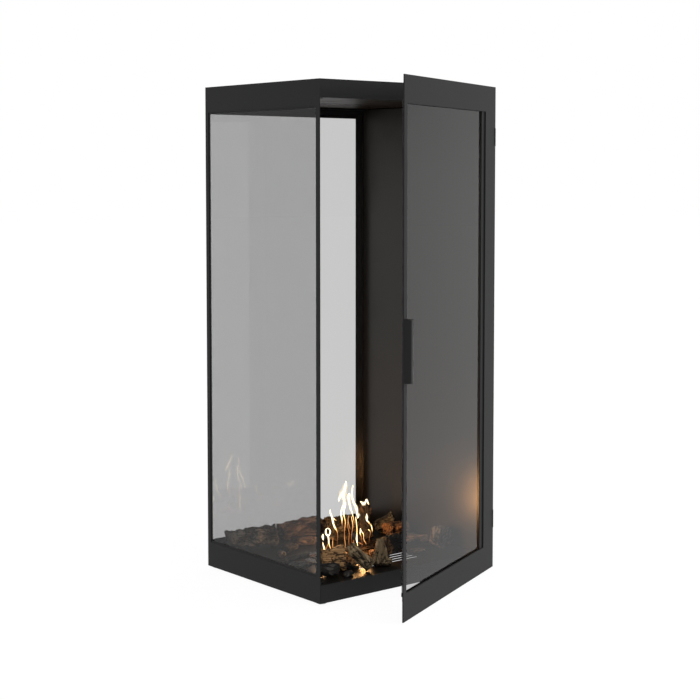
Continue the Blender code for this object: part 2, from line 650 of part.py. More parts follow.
def make_slide():
    """The comb slide and its knob. Moved along +X by half a port pitch, its bars shut the ports."""
    reach = (PORT_PITCH * (PORT_COUNT - 1) + PORT_WIDTH) / 2 + SLIDE_END_MARGIN
    knob_x = reach + SLIDE_TAB / 2
    edge = rectangle(-reach, reach + SLIDE_TAB, -SLIDE_WIDTH / 2, SLIDE_WIDTH / 2)
    bore = circle(knob_x, 0.0, KNOB_NECK_RADIUS + TOUCH_GAP, 12)
    place = (BURNER_CENTRE_X, BURNER_CENTRE_Y, (SLIDE_LOW + SLIDE_TOP) / 2)
    plate("burner_slide", [edge, *port_outlines(), bore], SLIDE_THICKNESS, FLAT, place, BURNER_STEEL)
    rest = SLIDE_TOP + TOUCH_GAP
    neck_top = rest + KNOB_HEIGHT - KNOB_CAP_HEIGHT
    profile = [
        (0.0, rest + KNOB_HEIGHT),
        (KNOB_RADIUS * 0.8, rest + KNOB_HEIGHT),
        (KNOB_RADIUS, rest + KNOB_HEIGHT - KNOB_CAP_HEIGHT / 4),
        (KNOB_RADIUS, neck_top + KNOB_CAP_HEIGHT / 4),
        (KNOB_NECK_RADIUS * 1.2, neck_top),
        (KNOB_NECK_RADIUS * 1.2, rest),
        (KNOB_NECK_RADIUS, rest),
        (KNOB_NECK_RADIUS, SLIDE_LOW + TOUCH_GAP),
        (0.0, SLIDE_LOW + TOUCH_GAP),
    ]
    knob_place = (BURNER_CENTRE_X + knob_x, BURNER_CENTRE_Y, 0.0)
    turned("slide_knob", profile, knob_place, ZINC, 16)


def hinge_levels():
    """Bottom level of each hinge, by name."""
    length = 2 * BARREL_LENGTH + HINGE_RUNNING_GAP
    return {"lower": BOTTOM + HINGE_END_DISTANCE, "upper": TOP - HINGE_END_DISTANCE - length}


def make_hinges():
    """The side wall's half of each hinge: a leaf with its barrel, and the pin that stands in it."""
    leaf_back = FRONT - TOUCH_GAP
    leaf_front = leaf_back - HINGE_LEAF_THICKNESS
    for name, low in hinge_levels().items():
        high = low + BARREL_LENGTH
        outer = [
            (x, y)
            for x, y in circle(HINGE_X, HINGE_Y, BARREL_RADIUS)
            if y <= leaf_front or x > HINGE_X
        ]
        outer.sort(key=lambda point: (math.atan2(point[1] - HINGE_Y, point[0] - HINGE_X) + math.pi / 2) % math.tau)
        first = [point for point in outer if point[0] >= HINGE_X]
        last = [point for point in outer if point[0] < HINGE_X]
        left = HINGE_X - HINGE_LEAF_WIDTH
        outline = [*first, (HINGE_X, leaf_back), (left, leaf_back), (left, leaf_front), *last]
        bore = circle(HINGE_X, HINGE_Y, BARREL_BORE + TOUCH_GAP / 3)
        middle = (0.0, 0.0, (low + high) / 2)
        plate("hinge_leaf_" + name, [outline, bore], BARREL_LENGTH, FLAT, middle, BLACK_STEEL)
        pin_low = low + PIN_OVERHANG
        pin_high = low + 2 * BARREL_LENGTH
        profile = [(0.0, pin_high), (PIN_RADIUS, pin_high), (PIN_RADIUS, pin_low), (0.0, pin_low)]
        turned("hinge_pin_" + name, profile, (HINGE_X, HINGE_Y, 0.0), ZINC)


def door_outline():
    """Edge of the door's outer sheet, notched at its hinges."""
    notch = HINGE_X - BARREL_RADIUS - TOUCH_GAP
    points = [(LEFT, BOTTOM), (RIGHT, BOTTOM)]
    for low in hinge_levels().values():
        bottom = low - TOUCH_GAP
        top = low + 2 * BARREL_LENGTH + HINGE_RUNNING_GAP + TOUCH_GAP
        points += [(RIGHT, bottom), (notch, bottom), (notch, top), (RIGHT, top)]
    return points + [(RIGHT, TOP), (LEFT, TOP)]


def screw_levels():
    """Heights of the handle's two screws, by name."""
    middle = (BOTTOM + TOP) / 2
    half = HANDLE_SCREW_SPACING / 2
    return {"lower": middle - half, "upper": middle + half}


def make_door_skin():
    """The door's outer sheet with its window and handle screw holes, and the inner glass frame behind it."""
    window = (LEFT + DOOR_FREE_STILE, RIGHT - DOOR_HINGE_STILE, BOTTOM + DOOR_RAIL, TOP - DOOR_RAIL)
    screw_x = LEFT + HANDLE_SCREW_EDGE_DISTANCE
    holes = [circle(screw_x, level, SCREW_RADIUS + SCREW_CLEARANCE, 12) for level in screw_levels().values()]
    outlines = [door_outline(), rectangle(*window), *holes]
    place = (0.0, (DOOR_FRONT + DOOR_BACK) / 2, 0.0)
    skin = plate("door_skin", outlines, DOOR_SHEET, UPRIGHT_Y, place, DOOR_STEEL)
    back = DOOR_FRAME_SETBACK
    strip_edge = window[1] - DOOR_FRAME_STRIP
    opening = (window[0] - back, strip_edge, window[2] - back, window[3] + back)
    low = HEARTH + DOOR_FRAME_EDGE
    high = CEILING - DOOR_FRAME_EDGE
    outer = (LEFT + DOOR_FRAME_EDGE, RIGHT - DOOR_FRAME_HINGE_MARGIN, low, high)
    y = DOOR_BACK + TOUCH_GAP + SHEET / 2
    outlines = [rectangle(*outer), rectangle(*opening), *holes]
    frame = plate("door_glass_frame", outlines, SHEET, UPRIGHT_Y, (0.0, y, 0.0), DOOR_STEEL)
    return [skin, frame], y + SHEET / 2, (low, high)


def make_door_glass(frame_back, levels):
    """The door's seal and glass, and the folded strips that clamp them at the top and the bottom."""
    window_left = LEFT + DOOR_FREE_STILE
    strip_edge = RIGHT - DOOR_HINGE_STILE - DOOR_FRAME_STRIP
    overlap = DOOR_GLASS_RAIL_OVERLAP
    pane = (
        window_left - DOOR_GLASS_OVERLAP,
        strip_edge + DOOR_GLASS_HINGE_OVERLAP,
        BOTTOM + DOOR_RAIL - overlap,
        TOP - DOOR_RAIL + overlap,
    )
    lip = SEAL_LIP
    bottom = BOTTOM + DOOR_RAIL - DOOR_FRAME_SETBACK
    top = TOP - DOOR_RAIL + DOOR_FRAME_SETBACK
    opening = (window_left - DOOR_FRAME_SETBACK * 2, strip_edge + lip, bottom - lip, top + lip)
    seal_y = frame_back + TOUCH_GAP + SEAL_THICKNESS / 2
    seal = window_frame("door_seal", UPRIGHT_Y, (0.0, seal_y, 0.0), pane, opening, SEAL_THICKNESS, SEAL_BLACK)
    glass_y = seal_y + SEAL_THICKNESS / 2 + TOUCH_GAP + GLASS_THICKNESS / 2
    glass = plate("door_glass", [rectangle(*pane)], GLASS_THICKNESS, UPRIGHT_Y, (0.0, glass_y, 0.0), TINTED_GLASS)
    half = BEAD_SHEET / 2
    foot_y = frame_back + TOUCH_GAP + half
    lip_y = glass_y + GLASS_THICKNESS / 2 + TOUCH_GAP + half
    clearance = DOOR_STRIP_END_CLEARANCE
    ends = (pane[0] + clearance, pane[1] - clearance)
    pieces = [seal, glass]
    edges = {
        "bottom": (levels[0], pane[2], BOTTOM + DOOR_RAIL, 1),
        "top": (levels[1], pane[3], TOP - DOOR_RAIL, -1),
    }
    for name, (edge, glass_edge, rail, inward) in edges.items():
        riser = glass_edge - inward * (half + TOUCH_GAP)
        end = rail - inward * DOOR_STRIP_LIP_SETBACK
        line = [(foot_y, edge), (foot_y, riser), (lip_y, riser), (lip_y, end)]
        strip = folded("door_strip_" + name, line, *ends, BEAD_SHEET, UPRIGHT_X, FLAT, ZINC)
        pieces.append(strip)
    return pieces


def make_handle():
    """The bar handle on the free edge, with its two screws from behind."""
    radius = HANDLE_CORNER_RADIUS
    left, right = LEFT, LEFT + DOOR_FREE_STILE
    back = DOOR_FRONT - TOUCH_GAP
    front = back - HANDLE_DEPTH
    outline = [(right, back), (left, back)]
    steps = 5
    for corner_x, start in ((left + radius, 180), (right - radius, 270)):
        for step in range(steps + 1):
            turn = math.radians(start + 90 * step / steps)
            outline.append((corner_x + radius * math.cos(turn), front + radius + radius * math.sin(turn)))
    middle = (BOTTOM + TOP) / 2
    bar = plate("handle", [outline], HANDLE_LENGTH, FLAT, (0.0, 0.0, middle), HANDLE_BLACK)
    bevel = bar.modifiers.new("edges", "BEVEL")
    bevel.width = HANDLE_EDGE_BEVEL
    bevel.segments = 2
    bevel.limit_method = "ANGLE"
    bevel.angle_limit = math.radians(60)
    screw_x = LEFT + HANDLE_SCREW_EDGE_DISTANCE
    head_rest = DOOR_BACK + TOUCH_GAP + SHEET + TOUCH_GAP
    tip = head_rest - SCREW_LENGTH
    pieces = [bar]
    for name, level in screw_levels().items():
        hole_name = "cut_handle_" + name
        hole = turned(
            hole_name,
            [
                (0.0, back + OVERRUN),
                (SCREW_RADIUS + SCREW_CLEARANCE, back + OVERRUN),
                (SCREW_RADIUS + SCREW_CLEARANCE, tip - TOUCH_GAP),
                (0.0, tip - TOUCH_GAP),
            ],
            (screw_x, 0.0, level),
            HANDLE_BLACK,
            12,
            (-math.radians(90), 0.0, 0.0),
        )
        PARTS.objects.unlink(hole)
        CUTTERS.objects.link(hole)
        cut(bar, hole)
        profile = [
            (0.0, head_rest + SCREW_HEAD_HEIGHT),
            (SCREW_HEAD_RADIUS * 0.7, head_rest + SCREW_HEAD_HEIGHT),
            (SCREW_HEAD_RADIUS, head_rest + SCREW_HEAD_HEIGHT * 0.5),
            (SCREW_HEAD_RADIUS, head_rest),
            (SCREW_RADIUS, head_rest),
            (SCREW_RADIUS, tip),
            (0.0, tip),
        ]
        place = (screw_x, 0.0, level)
        turn = (-math.radians(90), 0.0, 0.0)
        pieces += [hole, turned("handle_screw_" + name, profile, place, ZINC, 12, turn)]
    return pieces


def make_door_fittings():
    """The barrels that carry the door on its hinge pins, and the magnets on its rails."""
    pieces = []
    for name, low in hinge_levels().items():
        start = low + BARREL_LENGTH + HINGE_RUNNING_GAP
        end = start + BARREL_LENGTH
        bore = BARREL_BORE
        barrel = tube("door_barrel_" + name, BARREL_RADIUS, bore, start, end, HINGE_X, HINGE_Y, DOOR_STEEL)
        pieces.append(barrel)
    x = LEFT + MAGNET_EDGE_DISTANCE
    y = DOOR_BACK + TOUCH_GAP + MAGNET_THICKNESS / 2
    levels = {"lower": BOTTOM + MAGNET_RAIL_DISTANCE, "upper": TOP - MAGNET_RAIL_DISTANCE}
    for name, level in levels.items():
        outline = [circle(x, level, MAGNET_RADIUS)]
        place = (0.0, y, 0.0)
        pieces.append(plate("door_magnet_" + name, outline, MAGNET_THICKNESS, UPRIGHT_Y, place, ZINC))
    return pieces


def make_door():
    """The whole door, hung on an empty at its hinge axis and swung open."""
    skins, frame_back, levels = make_door_skin()
    pieces = [*skins, *make_door_glass(frame_back, levels), *make_handle(), *make_door_fittings()]
    hinge = bpy.data.objects.new("door_hinge_axis", None)
    PARTS.objects.link(hinge)
    hinge.location = (HINGE_X, HINGE_Y, 0.0)
    for piece in pieces:
        piece.location -= hinge.location
        piece.parent = hinge
    hinge.rotation_euler.z = math.radians(DOOR_OPEN_DEGREES)


def log_mesh(name, length, radii, bend, split, split_turn, seed):
    """One log along X about its middle: a bent, tapered tube with bumps, ridges and a split face."""
    curve = bpy.data.curves.new(name, "CURVE")
    curve.dimensions = "3D"
    curve.bevel_depth = 1.0
    curve.bevel_resolution = LOG_RESOLUTION
    curve.use_fill_caps = True
    spline = curve.splines.new("POLY")
    spline.points.add(LOG_RINGS - 1)
    for i, point in enumerate(spline.points):
        share = i / (LOG_RINGS - 1)
        sideways = bend * length * math.sin(math.pi * share)
        point.co = ((share - 0.5) * length, sideways, 0.0, 1.0)
        point.radius = radii[0] + (radii[1] - radii[0]) * share
    curve.materials.append(BARK)
    guide = bpy.data.objects.new(name, curve)
    PARTS.objects.link(guide)
    bpy.context.view_layer.update()
    obj = mesh_from(guide)
    mean = (radii[0] + radii[1]) / 2
    shape = bmesh.new()
    shape.from_mesh(obj.data)
    for vert in shape.verts:
        share = vert.co.x / length + 0.5
        middle = Vector((vert.co.x, bend * length * math.sin(math.pi * min(max(share, 0.0), 1.0)), 0.0))
        out = vert.co - middle
        turn = math.atan2(out.z, out.y)
        bumps = noise.noise(Vector((share * length / mean, math.cos(turn), math.sin(turn))) + Vector((seed, 0, 0)))
        ridge = noise.noise(Vector((share * 1.5, math.cos(turn) * 2.5, math.sin(turn) * 2.5 + seed)))
        scale = 1 + LOG_BUMP_SHARE * 2 * bumps + LOG_RIDGE_SHARE * 2 * ridge
        vert.co = middle + out * scale
        if share < LOG_END_SHARE or share > 1 - LOG_END_SHARE:
            vert.co.x += LOG_BREAK_SHARE * mean * noise.noise(Vector((2 * out.y / mean, 2 * out.z / mean, seed)))
    if split is not None:
        turn = math.radians(split_turn)
        normal = Vector((0.0, math.cos(turn), math.sin(turn)))
        geometry = [*shape.verts, *shape.edges, *shape.faces]
        bmesh.ops.bisect_plane(
            shape, geom=geometry, dist=0.000001, plane_co=normal * mean * split, plane_no=normal, clear_outer=True
        )
        rim = [edge for edge in shape.edges if edge.is_boundary]
        bmesh.ops.contextual_create(shape, geom=rim)
    bmesh.ops.triangulate(shape, faces=shape.faces)
    bmesh.ops.recalc_face_normals(shape, faces=shape.faces)
    shape.to_mesh(obj.data)
    shape.free()
    return obj


def world_triangles(obj):
    """The object's evaluated corners and triangles, in world space."""
    graph = bpy.context.evaluated_depsgraph_get()
    evaluated = obj.evaluated_get(graph)
    mesh = evaluated.to_mesh()
    mesh.calc_loop_triangles()
    points = [obj.matrix_world @ vert.co for vert in mesh.vertices]
    triangles = [tuple(triangle.vertices) for triangle in mesh.loop_triangles]
    evaluated.to_mesh_clear()
    return points, triangles


def surface_points(points, triangles, steps=5):
    """Points spread over each triangle."""
    spread = []
    for a, b, c in triangles:
        for i in range(steps + 1):
            for j in range(steps + 1 - i):
                k = steps - i - j
                spread.append((points[a] * i + points[b] * j + points[c] * k) / steps)
    return spread


def settle(obj, carriers):
    """Lowers a log until it lies on the hearth or on what is under it, with the seat gap between them."""
    points, triangles = world_triangles(obj)
    own = surface_points(points, triangles)
    drop = min(point.z for point in points) - HEARTH
    tree = BVHTree.FromPolygons(points, triangles)
    low = Vector([min(p[i] for p in points) for i in range(3)])
    high = Vector([max(p[i] for p in points) for i in range(3)])
    for other_tree, other_spread in carriers:
        for point in own:
            hit = other_tree.ray_cast(point, Vector((0.0, 0.0, -1.0)))
            if hit[0] is not None:
                drop = min(drop, hit[3])
        for point in other_spread:
            if low.x <= point.x <= high.x and low.y <= point.y <= high.y:
                hit = tree.ray_cast(point, Vector((0.0, 0.0, 1.0)))
                if hit[0] is not None:
                    drop = min(drop, hit[3])
    drop -= LOG_SEAT_GAP
    for _ in range(20):
        lowered = [point - Vector((0.0, 0.0, drop)) for point in points]
        tree = BVHTree.FromPolygons(lowered, triangles)
        if not any(tree.overlap(other_tree) for other_tree, _ in carriers):
            break
        drop -= LOG_LIFT_STEP
    obj.location.z -= drop
    bpy.context.view_layer.update()
    return tree, [point - Vector((0.0, 0.0, drop)) for point in own]


def log_material(name):
    """The finish that a log's name asks for."""
    if "charred" in name:
        return CHARRED
    if "reddish" in name or "orange" in name:
        return RED_BARK
    return BARK


def make_logs():
    """The set of ceramic logs and branches, each let down on what is already there."""
    carriers = []
    bpy.context.view_layer.update()
    for name in ("burner_cover", "slide_rail_front", "slide_rail_rear", "burner_slide", "slide_knob"):
        points, triangles = world_triangles(bpy.data.objects[name])
        carriers.append((BVHTree.FromPolygons(points, triangles), surface_points(points, triangles, 3)))
    for seed, (name, shares) in enumerate(LOG_SHARES.items()):
        x1, y1, x2, y2, rise, thick1, thick2, bend, split, split_turn = shares
        start = Vector((LOGS_MIDDLE_X + x1 * LOGS_REACH_X, y1 * CABINET_DEPTH / 2, 0.0))
        end = Vector((LOGS_MIDDLE_X + x2 * LOGS_REACH_X, y2 * CABINET_DEPTH / 2, rise * LOG_DIAMETER))
        along = end - start
        radii = (thick1 * LOG_DIAMETER / 2, thick2 * LOG_DIAMETER / 2)
        obj = log_mesh(name, along.length, radii, bend, split, split_turn, seed * 3.7)
        obj.data.materials.clear()
        obj.data.materials.append(log_material(name))
        turn = Matrix.Rotation(math.atan2(along.y, along.x), 4, "Z")
        pitch = math.atan2(along.z, math.hypot(along.x, along.y))
        turn = turn @ Matrix.Rotation(-pitch, 4, "Y")
        height = HEARTH + CABINET_DEPTH / 2
        obj.matrix_world = Matrix.Translation((start + end) / 2 + Vector((0.0, 0.0, height))) @ turn
        bpy.context.view_layer.update()
        carriers.append(settle(obj, carriers))


def move_back():
    """Moves every piece back, so that the origin is under the middle of the whole."""
    for obj in [*PARTS.objects, *CUTTERS.objects]:
        if obj.parent is None:
            obj.location.y += ORIGIN_SETBACK


def main():
    """Makes every piece."""
    make_base()
    make_hearth()
    make_roof()
    end_face = make_end_glazing()
    rear_face = make_rear_glazing()
    make_beads(end_face, rear_face)
    make_side_wall()
    make_feet()
    make_tank()
    make_burner_cover()
    make_slide()
    make_hinges()
    make_logs()
    make_door()
    move_back()


main()
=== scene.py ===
"""Bioethanol room divider fireplace: its finishes, logs, fire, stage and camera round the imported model."""
import math

import bmesh
import bpy
import numpy as np
from bpy.props import FloatProperty, FloatVectorProperty, PointerProperty
from mathutils import Matrix, Vector, noise


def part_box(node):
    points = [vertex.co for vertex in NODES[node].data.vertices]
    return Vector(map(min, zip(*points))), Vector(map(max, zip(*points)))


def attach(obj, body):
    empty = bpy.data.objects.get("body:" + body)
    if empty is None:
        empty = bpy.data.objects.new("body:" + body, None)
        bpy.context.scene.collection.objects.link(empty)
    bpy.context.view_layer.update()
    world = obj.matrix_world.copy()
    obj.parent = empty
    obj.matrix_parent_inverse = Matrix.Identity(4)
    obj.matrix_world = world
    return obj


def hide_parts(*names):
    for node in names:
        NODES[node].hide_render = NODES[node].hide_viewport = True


bl_info = {
    "name": "Room divider fireplace",
    "version": (1, 0, 0),
    "blender": (4, 5, 0),
    "location": "View3D > Sidebar > Fireplace",
    "description": "Finishes, ceramic logs, fire and stage for a glazed room divider fireplace",
    "category": "Object",
}

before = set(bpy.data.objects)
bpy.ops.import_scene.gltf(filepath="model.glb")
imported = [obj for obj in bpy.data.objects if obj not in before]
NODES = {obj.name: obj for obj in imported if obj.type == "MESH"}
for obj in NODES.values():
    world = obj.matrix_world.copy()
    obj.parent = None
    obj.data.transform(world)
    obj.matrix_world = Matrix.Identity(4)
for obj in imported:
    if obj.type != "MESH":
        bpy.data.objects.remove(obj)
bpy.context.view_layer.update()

CABINET = "cabinet"
END_LOW, END_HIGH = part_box("end_frame")
MIDDLE_Y = (END_LOW.y + END_HIGH.y) / 2
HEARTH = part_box("hearth_plate")[1].z
COVER_LOW, COVER_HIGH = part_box("burner_cover")
BURNER = Vector(((COVER_LOW.x + COVER_HIGH.x) / 2, (COVER_LOW.y + COVER_HIGH.y) / 2, COVER_HIGH.z))
FEET = ("foot_front_left", "foot_front_right", "foot_rear_left", "foot_rear_right")

# Camera: the photograph's place and lens, with part of its rise taken as tilt
CAMERA_PLACE = (-2.6289, -3.2211, 1.0717)
CAMERA_TURN = 39.2275
CAMERA_TILT = 3.835
CAMERA_LENS = 78.742
CAMERA_SHIFT = -0.10
SENSOR_WIDTH = 36.0
VIEW_DEPTH = 100.0

# Floor: half its side, its drop under the feet, and the strength and share of the glow that shows it white
FLOOR_HALF = 30.0
FLOOR_DROP = 0.0005
FLOOR_GLOW = 1.05
FLOOR_SHARE = 0.90

# Large soft lamp: its place from the cabinet's middle, its side and the height that it is aimed at
KEY_PLACE = (2.2, -3.4, 2.6)
KEY_SIZE = 2.4
AIM_HEIGHT = 0.65

# Rays to which the floor and the room are plain white
WHITE_RAYS = ("Is Camera Ray", "Is Glossy Ray", "Is Transmission Ray")
WHITE = (1.0, 1.0, 1.0)

# How glossy each powder coat is
COAT_GLOSS = {"cabinet": 0.135, "tray": 0.16, "sill": 0.20, "top": 0.11, "door": 0.105}

# Each satin sheet: roughness, gloss and tint of its sheen
HEARTH_SATIN = (0.37, 0.10, (1.0, 0.90, 0.74))
LINER_SATIN = (0.31, 0.5, (1.0, 0.95, 0.88))
CEILING_SATIN = (0.42, 0.13, WHITE)

# Heights between which the side wall turns dull with soot, and how dull
SOOT_LINE = (0.90, 1.22)
SOOT_DULLNESS = 0.22

# How strongly glass bends light, and the stronger or weaker index that each pane mirrors with
GLASS_INDEX = 1.5
END_MIRROR = 1.32
REAR_MIRROR = 1.72
DOOR_MIRROR = 1.27
REAR_TINT = 1.015

# Colours of the finishes that no setting changes
HEARTH_BLACK = (0.010, 0.009, 0.008)
CEILING_BROWN = (0.022, 0.015, 0.010)
BURNER_STEEL = (0.075, 0.070, 0.066)
BURNER_HEAT = 0.9
ZINC = (0.50, 0.50, 0.51)
BLACK_ZINC = (0.03, 0.03, 0.031)
CERAMIC_WOOL = (0.72, 0.70, 0.65)
HANDLE_BLACK = (0.0085, 0.0085, 0.0086)
SOOT = (0.012, 0.010, 0.008)
STEEL_SOOT = (0.03, 0.028, 0.026)
HEAT_TINT = (0.30, 0.17, 0.07)
SEAL_DARK = (0.008, 0.008, 0.008)
SEAL_PALE = (0.018, 0.018, 0.018)
CHAR = (0.010, 0.009, 0.008)
ASH = (0.17, 0.16, 0.15)

# Depth of the relief in each finish, in metres
COAT_RELIEF = 0.00012
SHEET_RELIEF = 0.00002
SEAL_RELIEF = 0.0001
STEEL_RELIEF = 0.00004
ZINC_RELIEF = 0.00003
FIBRE_RELIEF = 0.0005
GRIP_RELIEF = 0.00004
BARK_RELIEF = 0.0026

# Gap under the logs, and the reach within which the corners of a CAD mesh are joined
SEAT_GAP = 0.0003
MERGE_REACH = 0.00001

# Bark patterns: how tight each is along a log and across it, per metre
WARP_SCALE = (30, 55)
PLATE_SCALE = (42, 95)
CLEFT_SCALE = (30, 150)
BROAD_SCALE = (30, 42)
FINE_SCALE = (150, 260)
LUMP_SCALE = (62, 55)

# Bark patterns: how much each counts, and their limits
WARP_SHARE = 0.9
PLATE_EDGE = 0.30
PLATE_SHARE = 0.50
CLEFT_LIMIT = 0.5
CLEFT_SHARE = 0.9
BROAD_SHARE = 0.75
FINE_SHARE = 0.22
FINE_FRACTAL = (0.6, 2.0, 3)
RELIEF_PERCENTILES = (5, 95)

# Bark relief: height at which it neither cuts in nor stands proud, smoothness of sawn ends, and the lumps
RIDGE_SHARE = 0.85
CUT_SMOOTHNESS = 0.35
LUMP_GAIN = 2.6
LUMP_LIMITS = (-0.5, 1.0)
LUMP_SHARE = 0.36

# A log's sawn ends: how squarely a face looks along the log, and how far out it lies, from where each counts
END_FACING, END_FACING_SPAN = 0.62, 0.25
END_PLACE, END_PLACE_SPAN = 0.70, 0.12

# A log's split faces: least share of its surface, and how squarely a face looks their way
SPLIT_AREA_SHARE = 0.09
SPLIT_FACING, SPLIT_FACING_SPAN = 0.75, 0.15

# Steps between the seeds of logs, of chips and their bark and of flames, and a seed's shift of lumps and grain
LOG_SEED_STEP = 1.7
CHIP_SEED_STEP = 2.9
CHIP_BARK_SEED_STEP = 2.1
FLAME_SEED_STEP = 1.3
LUMP_SEED_STEP = 3.0
GRAIN_SEED_STEP = 0.37

# Each log: bark colour, split wood colour, share of char, bark depth in mm
LOG_LOOKS = {
    "log_rear_left": ((0.048, 0.046, 0.040), (0.11, 0.10, 0.085), 0.42, 7.0),
    "log_rear_reddish": ((0.050, 0.034, 0.026), (0.08, 0.055, 0.040), 0.34, 6.5),
    "log_rear_middle": ((0.030, 0.025, 0.019), (0.07, 0.055, 0.036), 0.55, 8.5),
    "branch_ember": ((0.030, 0.018, 0.010), (0.10, 0.05, 0.025), 0.80, 7.0),
    "log_rear_right": ((0.042, 0.040, 0.030), (0.08, 0.075, 0.055), 0.25, 6.0),
    "log_right_orange": ((0.105, 0.054, 0.026), (0.15, 0.080, 0.04), 0.40, 6.0),
    "log_right_charred": ((0.012, 0.013, 0.014), (0.02, 0.02, 0.02), 0.95, 6.0),
    "log_front_wedge": ((0.120, 0.084, 0.048), (0.170, 0.122, 0.066), 0.12, 3.6),
    "log_front_left": ((0.380, 0.215, 0.095), (0.380, 0.215, 0.095), 0.05, 2.6),
    "branch_front": ((0.150, 0.108, 0.060), (0.20, 0.145, 0.080), 0.12, 3.0),
    "log_front_charred": ((0.028, 0.024, 0.020), (0.07, 0.05, 0.03), 0.85, 5.0),
    "log_left_thin": ((0.058, 0.050, 0.036), (0.075, 0.060, 0.042), 0.30, 3.5),
    "log_right_bark": ((0.120, 0.100, 0.078), (0.24, 0.20, 0.14), 0.35, 5.5),
    "branch_right": ((0.160, 0.100, 0.060), (0.30, 0.20, 0.12), 0.25, 3.5),
}

# Each chip between the logs: plan place from the cabinet's middle, length, thickness, turn in degrees, and
# the log whose look it has
CHIPS = {
    "chip_reddish": (-0.064, 0.118, 0.082, 0.028, -12, "log_rear_reddish"),
    "chip_flat": (0.120, -0.146, 0.056, 0.013, -22, "branch_right"),
    "chip_charred": (-0.141, -0.163, 0.034, 0.022, 30, "log_front_charred"),
    "chip_front": (-0.112, -0.131, 0.062, 0.046, 25, "log_front_left"),
    "chip_foot": (-0.047, -0.200, 0.050, 0.024, -12, "log_front_wedge"),
    "chip_branch_end": (-0.059, -0.176, 0.032, 0.022, -20, "branch_front"),
    "chip_sill": (-0.181, -0.216, 0.040, 0.016, 22, "log_front_charred"),
    "chip_middle": (-0.205, 0.040, 0.046, 0.020, 50, "log_left_thin"),
    "chip_left": (-0.232, -0.085, 0.052, 0.024, -35, "log_rear_left"),
    "chip_right": (0.196, -0.030, 0.044, 0.024, 15, "log_rear_right"),
    "chip_far_right": (0.205, 0.080, 0.060, 0.028, -30, "log_rear_right"),
    "chip_glowing": (0.000, -0.100, 0.036, 0.020, 20, "log_right_orange"),
    "chip_rear": (-0.145, 0.085, 0.060, 0.026, 25, "log_rear_middle"),
    "chip_rear_middle": (0.048, 0.104, 0.075, 0.022, -8, "log_rear_middle"),
    "chip_vent": (0.071, -0.103, 0.046, 0.030, 12, "log_right_charred"),
}

# Chips: width and flat half height as shares of the thickness, pull of the noise, fineness of the mesh, scale
# of the noise along and across, bark depth and gap below
CHIP_WIDTH_SHARE = 1.3
CHIP_FLAT_SHARE = 0.40
CHIP_SWING = 0.38
CHIP_FINENESS = 5
CHIP_SCALE = (50, 70)
CHIP_BARK = 0.0030
CHIP_GAP = 0.0005

